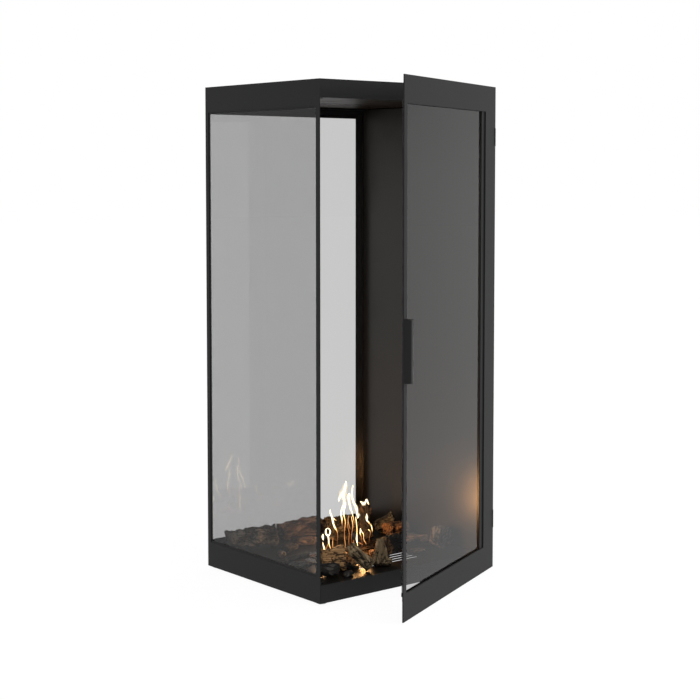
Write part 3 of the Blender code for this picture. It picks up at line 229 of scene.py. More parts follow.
# Each tongue of fire, in millimetres from the middle of the burner's cover: its place across the burner, then
# the points of its middle line as place along the burner, height, half width and heat
FLAMES = {
    "tall": (0, (
        (-2, 197, 0.6, 1), (0, 190, 3.0, 1), (-2, 181, 4.5, 1), (-6, 170, 5.0, 1), (-11, 162, 6.2, 1),
        (-10, 151, 4.4, 1), (-7, 140, 3.6, 1), (-8, 129, 3.6, 1), (-13, 118, 2.7, 1), (-16, 106, 2.7, 0.95),
        (-15, 93, 2.4, 0.9), (-14, 81, 1.8, 0.55), (-13, 71, 0.7, 0.35),
    )),
    "tall_hook": (3, (
        (-22, 142, 1.5, 1), (-21, 149, 3.3, 1), (-16, 158, 3.9, 1), (-11, 166, 3.0, 1),
    )),
    "tall_stem": (-4, (
        (-7, 140, 1.5, 1), (-8, 125, 2.1, 1), (-10, 110, 2.1, 0.95), (-8, 97, 2.1, 0.8),
        (-5, 83, 1.9, 0.65), (-6, 68, 1.8, 0.5), (-8, 54, 1.6, 0.4), (-8, 39, 1.8, 0.45),
        (-5, 22, 0.9, 0.6), (-5, 6, 0.6, 0.3),
    )),
    "second": (4, (
        (25, 182, 0.6, 0.9), (24, 173, 2.1, 0.95), (25, 162, 2.4, 1), (24, 152, 3.3, 1), (27, 141, 3.0, 1),
        (30, 130, 3.0, 1), (37, 119, 3.6, 1), (41, 108, 3.6, 1), (43, 99, 3.3, 1), (47, 92, 3.9, 1),
        (43, 85, 1.5, 0.9),
    )),
    "second_left": (7, (
        (19, 159, 1.2, 0.95), (16, 150, 3.9, 1), (17, 138, 3.6, 1), (18, 126, 3.0, 1), (22, 113, 2.7, 1),
        (27, 104, 2.1, 0.9), (30, 93, 1.6, 0.8), (33, 80, 1.3, 0.6), (34, 68, 0.7, 0.45),
    )),
    "streak_a": (-3, (
        (6, 101, 0.6, 0.6), (6, 87, 1.6, 0.55), (9, 74, 1.6, 0.5), (11, 62, 0.6, 0.4),
    )),
    "streak_b": (5, (
        (10, 81, 0.6, 0.5), (9, 68, 1.5, 0.45), (13, 52, 1.6, 0.4), (14, 39, 1.6, 0.4), (13, 26, 0.9, 0.45),
        (13, 6, 0.6, 0.3),
    )),
    "streak_c": (0, (
        (17, 97, 0.6, 0.85), (19, 83, 1.3, 0.75), (23, 71, 1.5, 0.6), (24, 55, 1.6, 0.45),
        (21, 41, 1.5, 0.35), (19, 32, 0.9, 0.35), (19, 6, 0.6, 0.25),
    )),
    "streak_d": (-6, (
        (31, 94, 1.2, 0.95), (32, 78, 1.8, 0.85), (33, 63, 1.9, 0.8), (33, 48, 2.1, 0.8),
        (33, 33, 2.7, 0.95), (35, 18, 1.5, 0.9), (35, 6, 0.8, 0.5),
    )),
    "streak_e": (-2, (
        (24, 30, 1.5, 0.4), (23, 26, 2.1, 0.35), (25, 17, 1.4, 0.3), (25, 6, 0.6, 0.25),
    )),
    "left": (-2, (
        (-56, 126, 0.6, 0.95), (-57, 117, 2.4, 1), (-53, 105, 2.6, 1), (-50, 94, 2.9, 1),
        (-45, 81, 2.7, 0.95), (-39, 71, 2.9, 0.85), (-35, 64, 2.1, 0.65), (-33, 54, 1.0, 0.45),
        (-33, 20, 0.6, 0.3),
    )),
    "left_side": (2, (
        (-46, 101, 0.9, 0.9), (-41, 96, 1.8, 0.8), (-33, 91, 0.7, 0.6),
    )),
    "loop": (-6, (
        (-67, 77, 1.2, 1), (-73, 71, 2.3, 1), (-73, 62, 2.5, 1), (-67, 54, 2.3, 1), (-66, 45, 2.3, 1),
        (-66, 36, 2.1, 0.9), (-63, 27, 1.9, 0.7), (-59, 19, 1.9, 0.5), (-54, 13, 2.1, 0.45),
        (-52, 20, 1.8, 0.5), (-52, 31, 1.6, 0.55), (-51, 42, 1.5, 0.5), (-49, 49, 0.7, 0.45),
    )),
    "loop_right": (-6, (
        (-68, 77, 0.9, 1), (-61, 69, 2.2, 1), (-61, 61, 2.3, 1), (-66, 53, 1.8, 1),
    )),
    "loop_foot": (-8, (
        (-69, 35, 0.7, 0.7), (-72, 27, 1.5, 0.45), (-76, 21, 1.8, 0.5), (-82, 20, 1.5, 0.7),
        (-87, 15, 0.7, 0.8),
    )),
    "far_left": (-12, (
        (-88, 64, 1.2, 1), (-89, 58, 3.2, 1), (-87, 50, 1.9, 1), (-87, 47, 0.6, 0.9),
    )),
    "far_left_low": (-12, (
        (-89, 43, 0.6, 0.9), (-88, 34, 2.0, 0.95), (-86, 24, 2.6, 0.85), (-91, 15, 0.9, 0.85),
        (-90, 6, 0.6, 0.5),
    )),
    "right": (10, (
        (82, 92, 0.9, 1), (82, 83, 3.3, 1), (83, 73, 2.4, 0.95), (89, 67, 2.1, 0.8), (92, 60, 0.8, 0.6),
    )),
    "right_low": (10, (
        (97, 62, 0.6, 0.8), (100, 54, 2.0, 0.85), (101, 44, 1.7, 0.75), (100, 37, 0.6, 0.5),
    )),
    "right_spark": (12, (
        (87, 48, 0.9, 0.85), (92, 43, 1.8, 0.75), (95, 38, 1.0, 0.5), (95, 10, 0.6, 0.3),
    )),
    "front_right": (-12, (
        (40, 62, 0.7, 0.95), (41, 54, 3.0, 0.95), (39, 47, 2.2, 0.8), (43, 38, 1.5, 0.5),
        (45, 29, 1.0, 0.35), (45, 6, 0.6, 0.25),
    )),
    "front_right_side": (-10, (
        (47, 51, 0.9, 0.9), (53, 42, 1.6, 0.75), (54, 31, 1.6, 0.6), (57, 23, 1.9, 0.6), (63, 13, 0.9, 0.4),
    )),
    "front_right_foot": (-12, (
        (33, 24, 0.7, 0.5), (41, 19, 1.8, 0.4), (50, 14, 0.7, 0.35),
    )),
    "ember_crest": (100, (
        (132, 105, 1.2, 1), (139, 100, 3.1, 1), (145, 96, 4.0, 1), (151, 101, 2.8, 1), (155, 107, 2.2, 1),
        (159, 99, 2.5, 1), (163, 91, 1.7, 0.8), (166, 83, 0.6, 0.5),
    )),
}
MILLIMETRE = 0.001

# The layers of a tongue of fire: swell, spread of the broad parts, share of the brightness and solidity
FLAME_LAYERS = (("core", 0.44, 0.0, 1.0, 3.0), ("veil", 1.45, 0.6, 0.16, 0.36))

# A tongue's mesh: rings for each point, sides, reach of the slope, sway, least and usual half width in
# millimetres, how blunt it ends and how fast it widens, and its depth as a share of its width
FLAME_RINGS = 6
FLAME_SIDES = 10
FLAME_REACH = 0.02
FLAME_SWAY = 5.0
FLAME_SWAY_SCALE = (0.03, 0.01)
FLAME_LEAST = 0.12
FLAME_USUAL = 3.0
FLAME_BLUNTNESS = 0.10
FLAME_WIDENING = 14
FLAME_DEPTH_SHARE = 0.8

# How far short of its last point a line's last span is read, so that there is a point after it
LAST_SPAN_MARGIN = 1e-6

# Colours of fire from cool to hot, and the gain of the whole
FIRE_STOPS = (
    (0.25, (0.62, 0.14, 0.04)),
    (0.5, (0.92, 0.38, 0.12)),
    (0.8, (1.0, 0.64, 0.24)),
    (1.0, (1.0, 0.84, 0.52)),
)
FIRE_GAIN = 1.22

# Each lamp in the fire: place along the burner, height, size, share of the power and what it lights
FIRE_LAMPS = (
    ("fire_lamp_left", -0.07, 0.050, 0.022, 0.55, "all"),
    ("fire_lamp_middle", 0.0, 0.085, 0.030, 1.2, "all"),
    ("fire_lamp_right", 0.05, 0.060, 0.022, 1.0, "all"),
    ("fire_lamp_wall", 0.0, 0.105, 0.060, 4.2, "wall"),
)
FIRE_COLOUR = (1.0, 0.50, 0.18)


class Sum:
    """A shader socket that can stand in sums, products and powers."""

    def __init__(self, maker, socket):
        self.maker = maker
        self.socket = socket

    def apply(self, operation, first, second, clamp=False):
        """Adds one Math node and gives back its result."""
        settings = {"operation": operation, "use_clamp": clamp}
        return self.maker.add("ShaderNodeMath", settings, {0: first, 1: second}, "Value")

    def __add__(self, other):
        return self.apply("ADD", self, other)

    __radd__ = __add__

    def __sub__(self, other):
        return self.apply("SUBTRACT", self, other)

    def __rsub__(self, other):
        return self.apply("SUBTRACT", other, self)

    def __mul__(self, other):
        return self.apply("MULTIPLY", self, other)

    __rmul__ = __mul__

    def __truediv__(self, other):
        return self.apply("DIVIDE", self, other)

    def __rtruediv__(self, other):
        return self.apply("DIVIDE", other, self)

    def __pow__(self, other):
        return self.apply("POWER", self, other)

    def __rpow__(self, other):
        return self.apply("POWER", other, self)

    def clamped(self):
        """The value held between 0 and 1."""
        return self.apply("ADD", self, 0.0, clamp=True)

    def between(self, low, high):
        """0 at the low value, 1 at the high one and a smooth step between them."""
        return self.maker.add(
            "ShaderNodeMapRange",
            {"interpolation_type": "SMOOTHSTEP", "clamp": True},
            {"Value": self, "From Min": low, "From Max": high, "To Min": 0.0, "To Max": 1.0},
            "Result",
        )


class Finish:
    """A material under construction, with one method that adds any node."""

    def __init__(self, name):
        self.material = bpy.data.materials.new(name)
        self.material.use_nodes = True
        self.tree = self.material.node_tree
        self.tree.nodes.clear()
        self.output = self.tree.nodes.new("ShaderNodeOutputMaterial")

    def add(self, kind, settings, values, result):
        """Adds a node with its settings, then the values or links of its sockets, and gives one output."""
        node = self.tree.nodes.new(kind)
        for key, value in (settings or {}).items():
            if key == "stops":
                self.set_stops(node, value)
            else:
                setattr(node, key, value)
        for key, value in (values or {}).items():
            socket = self.socket_of(node.inputs, key)
            if isinstance(value, Sum):
                self.tree.links.new(value.socket, socket)
            else:
                socket.default_value = value
        return Sum(self, self.socket_of(node.outputs, result))

    @staticmethod
    def socket_of(sockets, key):
        """A node's input or output by number, or by name among those in use."""
        if isinstance(key, int):
            return sockets[key]
        return next(socket for socket in sockets if socket.name == key and socket.enabled)

    @staticmethod
    def set_stops(node, stops):
        """Gives a colour ramp its stops."""
        elements = node.color_ramp.elements
        while len(elements) < len(stops):
            elements.new(0.5)
        for element, (place, colour) in zip(elements, stops):
            element.position = place
            element.color = (*colour, 1.0)

    def attribute(self, name, output="Fac"):
        """An attribute of the piece's mesh."""
        return self.add("ShaderNodeAttribute", {"attribute_name": name}, None, output)

    def place(self, scale=(1.0, 1.0, 1.0), attribute=None):
        """Object coordinates, or a piece's own attribute, stretched."""
        if attribute:
            source = self.attribute(attribute, "Vector")
        else:
            source = self.add("ShaderNodeTexCoord", None, None, "Object")
        return self.add("ShaderNodeMapping", None, {"Vector": source, "Scale": scale}, "Vector")

    def noise(self, place, scale, detail=3.0, roughness=0.55, distortion=0.0):
        """Noise as a value round 0.5."""
        values = {"Vector": place, "Scale": scale, "Detail": detail}
        values.update({"Roughness": roughness, "Distortion": distortion})
        return self.add("ShaderNodeTexNoise", None, values, "Fac")

    def facing(self):
        """0 where the surface faces the ray and 1 at its rim."""
        return self.add("ShaderNodeLayerWeight", None, {"Blend": 0.5}, "Facing")

    def blend(self, share, first, second):
        """Blends two colours by a share."""
        first = first if isinstance(first, Sum) else (*first, 1.0)
        second = second if isinstance(second, Sum) else (*second, 1.0)
        settings = {"data_type": "RGBA", "blend_type": "MIX", "clamp_factor": True}
        return self.add("ShaderNodeMix", settings, {"Factor": share, "A": first, "B": second}, "Result")

    def bump(self, height, depth, strength=1.0):
        """Turns a height into a normal."""
        values = {"Height": height, "Distance": depth, "Strength": strength}
        return self.add("ShaderNodeBump", None, values, "Normal")

    def surface(self, **values):
        """The main shader. Each value's name is its socket's in lower case, with underscores."""
        sockets = {}
        for key, value in values.items():
            socket = key.replace("_", " ").title().replace("Ior", "IOR")
            if socket.endswith("Color") and not isinstance(value, Sum):
                value = (*value, 1.0)
            sockets[socket] = value
        return self.add("ShaderNodeBsdfPrincipled", None, sockets, "BSDF")

    def clear(self, tint=WHITE):
        """A shader that lets light straight through."""
        return self.add("ShaderNodeBsdfTransparent", None, {"Color": (*tint, 1.0)}, "BSDF")

    def mix(self, share, first, second):
        """Mixes two shaders by a share."""
        return self.add("ShaderNodeMixShader", None, {0: share, 1: first, 2: second}, "Shader")

    def done(self, shader):
        """Links the shader to the output and gives the material."""
        self.tree.links.new(shader.socket, self.output.inputs["Surface"])
        return self.material


# Finishes


def shaded(colour, factor, lift=0.0):
    """A colour made darker or lighter."""
    return [min(1.0, part * factor + lift) for part in colour]


def powder_coat(name, colour, roughness, specular):
    """Fine textured powder coat on sheet steel, faintly uneven and dusty."""
    make = Finish(name)
    place = make.place()
    grain = make.noise(place, 900.0, 3.0, 0.6)
    cloud = make.noise(place, 3.5, 3.0)
    dust = make.noise(place, 60.0, 4.0, 0.65).between(0.55, 0.8)
    base = make.blend(cloud.between(0.3, 0.7), shaded(colour, 0.93), shaded(colour, 1.07))
    base = make.blend(dust * 0.10, base, shaded(colour, 1.5, 0.004))
    orange_peel = make.noise(place, 320.0, 2.0)
    return make.done(
        make.surface(
            base_color=base,
            roughness=roughness + (cloud - 0.5) * 0.08 + dust * 0.05,
            specular_ior_level=specular,
            normal=make.bump(grain * 0.6 + orange_peel * 0.4, COAT_RELIEF, 0.5),
        )
    )


def satin_sheet(name, colour, look, soot_line=None):
    """Satin black sheet that mirrors the fire softly, with fine upright rolling marks, duller where sooty."""
    make = Finish(name)
    roughness, specular, sheen = look
    place = make.place()
    streaks = make.noise(make.place((60.0, 60.0, 1.2)), 8.0, 3.0)
    cloud = make.noise(place, 4.0, 3.0)
    soot = make.noise(place, 9.0, 5.0, 0.6).between(0.5, 0.8)
    base = make.blend(cloud.between(0.3, 0.7), shaded(colour, 0.92), shaded(colour, 1.08))
    base = make.blend(soot * 0.35, base, SOOT)
    rough = roughness + (streaks - 0.5) * 0.08 + soot * 0.10
    if soot_line:
        level = make.add("ShaderNodeSeparateXYZ", None, {"Vector": place}, "Z")
        rough = rough + level.between(*soot_line) * SOOT_DULLNESS
    return make.done(
        make.surface(
            base_color=base,
            roughness=rough,
            specular_ior_level=specular,
            specular_tint=(*sheen, 1.0),
            normal=make.bump(streaks, SHEET_RELIEF, 0.2),
        )
    )


def tinted_pane(name, tint, mirror_index):
    """Grey tinted safety glass. Light passes straight through and loses more on a slant, and the pane's outer
    skin mirrors the room."""
    make = Finish(name)
    smear = make.noise(make.place(), 7.0, 4.0, 0.6).between(0.45, 0.85)
    cosine = 1.0 - make.facing()
    path = (1.0 - (1.0 - cosine * cosine) / GLASS_INDEX**2) ** -0.5
    longest = (1.0 - 1.0 / GLASS_INDEX**2) ** -0.5
    slant = (path - 1.0) / (longest - 1.0)
    body = make.mix(slant, make.clear(tint), make.clear([part**longest for part in tint]))
    gloss_values = {"Color": (*WHITE, 1.0), "Roughness": smear * 0.02}
    gloss = make.add("ShaderNodeBsdfAnisotropic", None, gloss_values, "BSDF")
    front = 1.0 - make.add("ShaderNodeNewGeometry", None, None, "Backfacing")
    mirror = make.add("ShaderNodeFresnel", None, {"IOR": mirror_index}, "Fac")
    return make.done(make.mix(mirror * front, body, gloss))


def soft_seal(name):
    """Black silicone seal."""
    make = Finish(name)
    grain = make.noise(make.place(), 400.0, 3.0)
    base = make.blend(grain, SEAL_DARK, SEAL_PALE)
    normal = make.bump(grain, SEAL_RELIEF, 0.5)
    return make.done(make.surface(base_color=base, roughness=0.75 + grain * 0.1, normal=normal))


def brushed_steel(name, colour, heat):
    """Brushed stainless steel with heat tint and light soot."""
    make = Finish(name)
    place = make.place()
    lines = make.noise(make.place((4.0, 260.0, 260.0)), 6.0, 3.0, 0.6)
    warm = make.noise(place, 22.0, 4.0).between(0.35, 0.75)
    soot = make.noise(place, 45.0, 5.0, 0.65).between(0.5, 0.75)
    base = make.blend(lines, shaded(colour, 0.85), shaded(colour, 1.12))
    base = make.blend(warm * heat, base, HEAT_TINT)
    base = make.blend(soot * heat * 0.7, base, STEEL_SOOT)
    rough = 0.26 + (lines - 0.5) * 0.14 + soot * heat * 0.3
    normal = make.bump(lines, STEEL_RELIEF, 0.5)
    return make.done(make.surface(base_color=base, metallic=1.0, roughness=rough, normal=normal))


def zinc_plate(name, colour):
    """Zinc-plated steel with a faint spangle."""
    make = Finish(name)
    place = make.place()
    cells = {"Vector": place, "Scale": 130.0}
    spangle = make.add("ShaderNodeTexVoronoi", {"feature": "F1"}, cells, "Distance")
    cloud = make.noise(place, 25.0, 3.0)
    base = make.blend(spangle, shaded(colour, 0.8), shaded(colour, 1.15))
    rough = 0.30 + cloud * 0.15
    normal = make.bump(cloud, ZINC_RELIEF)
    return make.done(make.surface(base_color=base, metallic=1.0, roughness=rough, normal=normal))


def fibre_board(name, colour):
    """Pressed ceramic fibre."""
    make = Finish(name)
    fibres = make.noise(make.place((1.0, 1.0, 0.25)), 420.0, 4.0, 0.7, 1.0)
    lumps = make.noise(make.place(), 60.0, 3.0)
    base = make.blend(fibres, shaded(colour, 0.8), colour)
    base = make.blend(lumps.between(0.55, 0.8) * 0.3, base, shaded(colour, 0.55))
    normal = make.bump(fibres + lumps, FIBRE_RELIEF, 0.7)
    return make.done(make.surface(base_color=base, roughness=0.95, normal=normal))


def painted_grip(name, colour):
    """Smooth satin black lacquer of the handle, faintly clouded."""
    make = Finish(name)
    place = make.place()
    cloud = make.noise(place, 40.0, 3.0)
    grain = make.noise(place, 800.0, 2.0)
    base = make.blend(cloud, shaded(colour, 0.9), shaded(colour, 1.15))
    rough = 0.34 + (cloud - 0.5) * 0.1
    normal = make.bump(grain, GRIP_RELIEF, 0.4)
    return make.done(make.surface(base_color=base, roughness=rough, specular_ior_level=0.16, normal=normal))


def log_finish(name, bark, wood, char):
    """Painted ceramic bark: painted shade near black in its clefts, a painted tan highlight on its ridges,
    charred in patches, wood on split faces.
    """
    make = Finish(name)
    even = make.place(attribute="grain")
    relief = make.attribute("relief")
    cut = make.attribute("cut")
    furrow = make.noise(make.place((60.0, 240.0, 240.0), "grain"), 1.0, 5.0, 0.65, 0.8)
    speck = make.noise(even, 480.0, 4.0, 0.7)
    patch = make.noise(even, 34.0, 4.0, 0.6)
    # Painted shade and painted highlight: this mask, taken from the bark's height, turns the bark near black
    # in its clefts and tan on its ridges
    painted_light_mask = relief + (furrow - 0.5) * 0.9 + (speck - 0.5) * 0.35
    base = make.blend(painted_light_mask.between(0.22, 0.52), shaded(bark, 0.10), bark)
    base = make.blend(painted_light_mask.between(0.58, 1.0), base, shaded(bark, 2.1, 0.020))
    rings = make.noise(make.place((16.0, 420.0, 120.0), "grain"), 1.0, 4.0, 0.6, 0.4)
    face = make.blend(rings.between(0.3, 0.7), shaded(wood, 0.45), shaded(wood, 1.3))
    # Split faces show wood only outside the painted shade of the clefts
    base = make.blend(cut * painted_light_mask.between(0.15, 0.45), base, face)
    burnt = (patch + (0.5 - relief) * 0.25).between(0.70 - char * 0.45, 0.84 - char * 0.45)
    base = make.blend(burnt * 0.92, base, CHAR)
    ash = make.noise(even, 90.0, 5.0, 0.7).between(0.60, 0.74)
    base = make.blend(ash * burnt * 0.4, base, ASH)
    rough = 0.84 - burnt * 0.16 + speck * 0.08
    normal = make.bump(furrow * (1.0 - cut * 0.5) + speck * 0.3, BARK_RELIEF, 1.0)
    return make.done(make.surface(base_color=base, roughness=rough, specular_ior_level=0.25, normal=normal))


def fire_skin(name, strength, solid):
    """Fire: orange-red where it is cool, yellow to near white where it is hot, and thin at its edges."""
    make = Finish(name)
    flicker = make.noise(make.place((1.0, 1.0, 0.35)), 260.0, 2.0)
    heat = (make.attribute("warmth") + (flicker - 0.5) * 0.25).clamped()
    colour = make.add("ShaderNodeValToRGB", {"stops": FIRE_STOPS}, {"Fac": heat}, "Color")
    power = (heat**3.0) * 0.9 + 0.1
    shade = make.add("ShaderNodeVectorMath", {"operation": "SCALE"}, {0: colour, "Scale": power}, "Vector")
    glow = make.surface(
        base_color=(0.0, 0.0, 0.0),
        roughness=1.0,
        specular_ior_level=0.0,
        emission_color=shade,
        emission_strength=strength * FIRE_GAIN,
    )
    share = ((1.0 - make.facing()) ** 1.3 * solid * (heat * 0.75 + 0.35)).clamped()
    return make.done(make.mix(share, make.clear(), glow))


def pair(stem, low="lower", high="upper"):
    """The names of two nodes of a kind, one above the other."""
    return stem + "_" + low, stem + "_" + high


def dress(node, finish):
    """Gives a CAD node its finish."""
    mesh = NODES[node].data
    for index in range(len(mesh.materials)):
        mesh.materials[index] = finish
    if not mesh.materials:
        mesh.materials.append(finish)


# Pieces


def add_piece(name, mesh, finish):
    """Puts a finished mesh in the scene as a piece of the cabinet."""
    piece = bpy.data.objects.new(name, mesh)
    bpy.context.scene.collection.objects.link(piece)
    mesh.materials.clear()
    mesh.materials.append(finish)
    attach(piece, CABINET)
    return piece


def merged_copy(node):
    """A copy of a CAD node's mesh with its triangles joined."""
    shape = bmesh.new()
    shape.from_mesh(NODES[node].data)
    bmesh.ops.remove_doubles(shape, verts=shape.verts, dist=MERGE_REACH)
    return shape


def mesh_of(shape, name):
    """Turns a shape under construction into a mesh."""
    mesh = bpy.data.meshes.new(name)
    shape.to_mesh(mesh)
    shape.free()
    return mesh


def log_axes(points):
    """A log's middle and its own axes, the long one first."""
    middle = points.mean(axis=0)
    _, _, axes = np.linalg.svd(points - middle, full_matrices=False)
    if np.linalg.det(axes) < 0:
        axes[2] *= -1
    return middle, axes


def even_mesh(shape, voxel):
    """Remeshes a closed shape to even faces."""
    draft = bpy.data.objects.new("draft", mesh_of(shape, "draft"))
    bpy.context.scene.collection.objects.link(draft)
    remesh = draft.modifiers.new("even", "REMESH")
    remesh.mode = "VOXEL"
    remesh.voxel_size = voxel
    graph = bpy.context.evaluated_depsgraph_get()
    made = bpy.data.meshes.new_from_object(draft.evaluated_get(graph))
    bpy.data.objects.remove(draft, do_unlink=True)
    return made


def vertex_rows(mesh, key):
    """A value of every vertex as rows of three numbers."""
    flat = np.empty(len(mesh.vertices) * 3)
    mesh.vertices.foreach_get(key, flat)
    return flat.reshape(-1, 3)


def probe(local, scale, shift):
    """Where a pattern is read: a place in a log's own axes, scaled along and across the log, and shifted."""
    along, side, up = local
    return Vector((along * scale[0] + shift[0], side * scale[1] + shift[1], up * scale[1] + shift[2]))


def bark_height(local, seed):
    """Height of the bark at a place in a log's own axes: plates, clefts, broad swells and fine grain."""
    warp = noise.noise(probe(local, WARP_SCALE, (0.0, 0.0, seed))) * WARP_SHARE
    gaps, _ = noise.voronoi(probe(local, PLATE_SCALE, (seed + warp, warp, -warp)))
    plate = min(1.0, (gaps[1] - gaps[0]) / PLATE_EDGE)
    cleft = abs(noise.noise(probe(local, CLEFT_SCALE, (warp, seed, 0.0))))
    broad = noise.noise(probe(local, BROAD_SCALE, (0.0, seed, 0.0)))
    fine = noise.fractal(probe(local, FINE_SCALE, (seed, 0.0, 0.0)), *FINE_FRACTAL)
    height = plate * PLATE_SHARE + min(CLEFT_LIMIT, cleft) * CLEFT_SHARE
    return height + broad * BROAD_SHARE + fine * FINE_SHARE


def carve_bark(mesh, depth, seed):
    """Cuts bark in a log's mesh and swells it in lumps. Attributes hold its grain, sawn ends and relief."""
    points = vertex_rows(mesh, "co")
    normals = vertex_rows(mesh, "normal")
    middle, axes = log_axes(points)
    local = (points - middle) @ axes.T
    along = np.abs(local[:, 0])
    looks_along = np.abs((normals @ axes.T)[:, 0])
    cut = np.clip((looks_along - END_FACING) / END_FACING_SPAN, 0.0, 1.0)
    cut *= np.clip((along / along.max() - END_PLACE) / END_PLACE_SPAN, 0.0, 1.0)
    heights = np.array([bark_height(row, seed) for row in local])
    start = (seed * LUMP_SEED_STEP, 0.0, 0.0)
    lumps = np.array([noise.noise(probe(row, LUMP_SCALE, start)) for row in local])
    low, high = np.percentile(heights, RELIEF_PERCENTILES)
    relief = np.clip((heights - low) / (high - low), 0.0, 1.0)
    swelling = np.clip(lumps * LUMP_GAIN, *LUMP_LIMITS) * depth * LUMP_SHARE
    carving = (relief - RIDGE_SHARE) * depth * (1.0 - cut * CUT_SMOOTHNESS)
    moved = points + normals * (carving + swelling)[:, None]
    moved[:, 2] = np.maximum(moved[:, 2], HEARTH + SEAT_GAP)
    mesh.vertices.foreach_set("co", moved.ravel())
    grain = mesh.attributes.new("grain", "FLOAT_VECTOR", "POINT")
    grain.data.foreach_set("vector", (local + seed * GRAIN_SEED_STEP).astype(np.float32).ravel())
    for title, values in (("cut", cut), ("relief", relief)):
        mark = mesh.attributes.new(title, "FLOAT", "POINT")
        mark.data.foreach_set("value", values.astype(np.float32))
    mesh.update()
    mesh.shade_smooth()


def mark_split_face(mesh, node):
    """Marks the largest flat face of a log as cut wood, if it is large enough to be one."""
    flats = {}
    for polygon in NODES[node].data.polygons:
        key = tuple(round(part, 2) for part in polygon.normal)
        flats[key] = flats.get(key, 0.0) + polygon.area
    normal, area = max(flats.items(), key=lambda item: item[1])
    if area < sum(flats.values()) * SPLIT_AREA_SHARE:
        return
    mark = mesh.attributes["cut"]
    for vert in mesh.vertices:
        squareness = Vector(normal).dot(vert.normal)
        if squareness > SPLIT_FACING:
            share = min(1.0, (squareness - SPLIT_FACING) / SPLIT_FACING_SPAN)
            mark.data[vert.index].value = max(mark.data[vert.index].value, share)


def chip_shape(length, thickness, seed):
    """A chip of broken bark: a rounded block pulled about by noise, with a flat top and underside."""
    shape = bmesh.new()
    bmesh.ops.create_icosphere(shape, subdivisions=CHIP_FINENESS, radius=0.5)
    bmesh.ops.scale(shape, vec=(length, thickness * CHIP_WIDTH_SHARE, thickness), verts=shape.verts)
    flat = thickness * CHIP_FLAT_SHARE
    for vert in shape.verts:
        pull = noise.noise(probe(vert.co, CHIP_SCALE, (seed, 0.0, 0.0)))
        vert.co *= 1.0 + CHIP_SWING * pull
        vert.co.z = max(-flat, min(flat, vert.co.z))
    return shape


def smooth_point(points, share):
    """A point of the smooth line through rows of numbers, at a share of its length."""
    last = len(points) - 1
    span = min(share * last, last - LAST_SPAN_MARGIN)
    index = int(span)
    part = span - index
    rows = [np.array(points[min(max(index + step, 0), last)], dtype=float) for step in (-1, 0, 1, 2)]
    before, start, end, after = rows
    slope_in = (end - before) / 2
    slope_out = (after - start) / 2
    square, cube = part**2, part**3
    return (
        (2 * cube - 3 * square + 1) * start
        + (cube - 2 * square + part) * slope_in
        + (3 * square - 2 * cube) * end
        + (cube - square) * slope_out
    )


def flame_mesh(name, depth, points, swell, spread, seed):
    """One tongue of fire: a tube with pointed ends along its middle line, with its heat as an attribute. The
    spread makes its broad parts broader."""
    rings = FLAME_RINGS * len(points)
    shape = bmesh.new()
    bmesh.ops.create_circle(shape, cap_ends=True, segments=FLAME_SIDES, radius=1.0)
    layer = list(shape.faces)
    for _ in range(rings):
        made = bmesh.ops.extrude_face_region(shape, geom=layer)
        verts = [item for item in made["geom"] if isinstance(item, bmesh.types.BMVert)]
        bmesh.ops.translate(shape, vec=(0.0, 0.0, 1.0), verts=verts)
        layer = [item for item in made["geom"] if isinstance(item, bmesh.types.BMFace)]
    heats = []
    for vert in shape.verts:
        share = vert.co.z / rings
        along, rise, width, heat = smooth_point(points, share)
        ahead = smooth_point(points, min(1.0, share + FLAME_REACH))
        behind = smooth_point(points, max(0.0, share - FLAME_REACH))
        run = Vector((ahead[0] - behind[0], ahead[1] - behind[1]))
        run.normalize()
        rise_scale, along_scale = FLAME_SWAY_SCALE
        sway = FLAME_SWAY * noise.noise(Vector((rise * rise_scale, along * along_scale, seed)))
        width = max(FLAME_LEAST, width)
        to_end = min(share, 1.0 - share)
        taper = min(1.0, FLAME_BLUNTNESS + to_end * FLAME_WIDENING)
        radius = width * swell * (width / FLAME_USUAL) ** spread * taper
        across = vert.co.x * radius
        inward = vert.co.y * radius * FLAME_DEPTH_SHARE
        heats.append(heat)
        vert.co = Vector((along + run.y * across, depth + sway + inward, rise - run.x * across))
    bmesh.ops.recalc_face_normals(shape, faces=shape.faces)
    shape.transform(Matrix.Translation(BURNER) @ Matrix.Scale(MILLIMETRE, 4))
    mesh = mesh_of(shape, name)
    mark = mesh.attributes.new("warmth", "FLOAT", "POINT")
    mark.data.foreach_set("value", heats)
    mesh.shade_smooth()
    return mesh


# Settings


COLOUR = {"subtype": "COLOR", "min": 0, "max": 1}


class FireplaceFinishes(bpy.types.PropertyGroup):
    """Colours of the cabinet, the door and the glass."""

    cabinet: FloatVectorProperty(
        name="Cabinet",
        description="Powder coat of the cabinet",
        default=(0.0120, 0.0120, 0.0122),
        **COLOUR,
    )
    door: FloatVectorProperty(
        name="Door",
        description="Powder coat of the door",
        default=(0.0170, 0.0170, 0.0172),
        **COLOUR,
    )
    liner: FloatVectorProperty(
        name="Liner",
        description="Satin inner side wall",
        default=(0.0085, 0.0070, 0.0058),
        **COLOUR,
    )
    glass: FloatVectorProperty(
        name="Glass",
        description="Tint of each skin of the glass",
        default=(0.790, 0.790, 0.790),
        **COLOUR,
    )
    roughness: FloatProperty(
        name="Roughness",
        description="Roughness of the powder coat",
        default=0.50,
        min=0,
        max=1,
        subtype="FACTOR",
    )


class FireplaceLogs(bpy.types.PropertyGroup):
    """Sizes of the carving on the ceramic logs."""

    voxel: FloatProperty(name="Mesh size", description="Size of a log's faces", default=0.0015, unit="LENGTH")
    bark_depth: FloatProperty(
        name="Bark depth",
        description="Multiplies the depth of the furrows",
        default=1.0,
        min=0,
        subtype="FACTOR",
    )


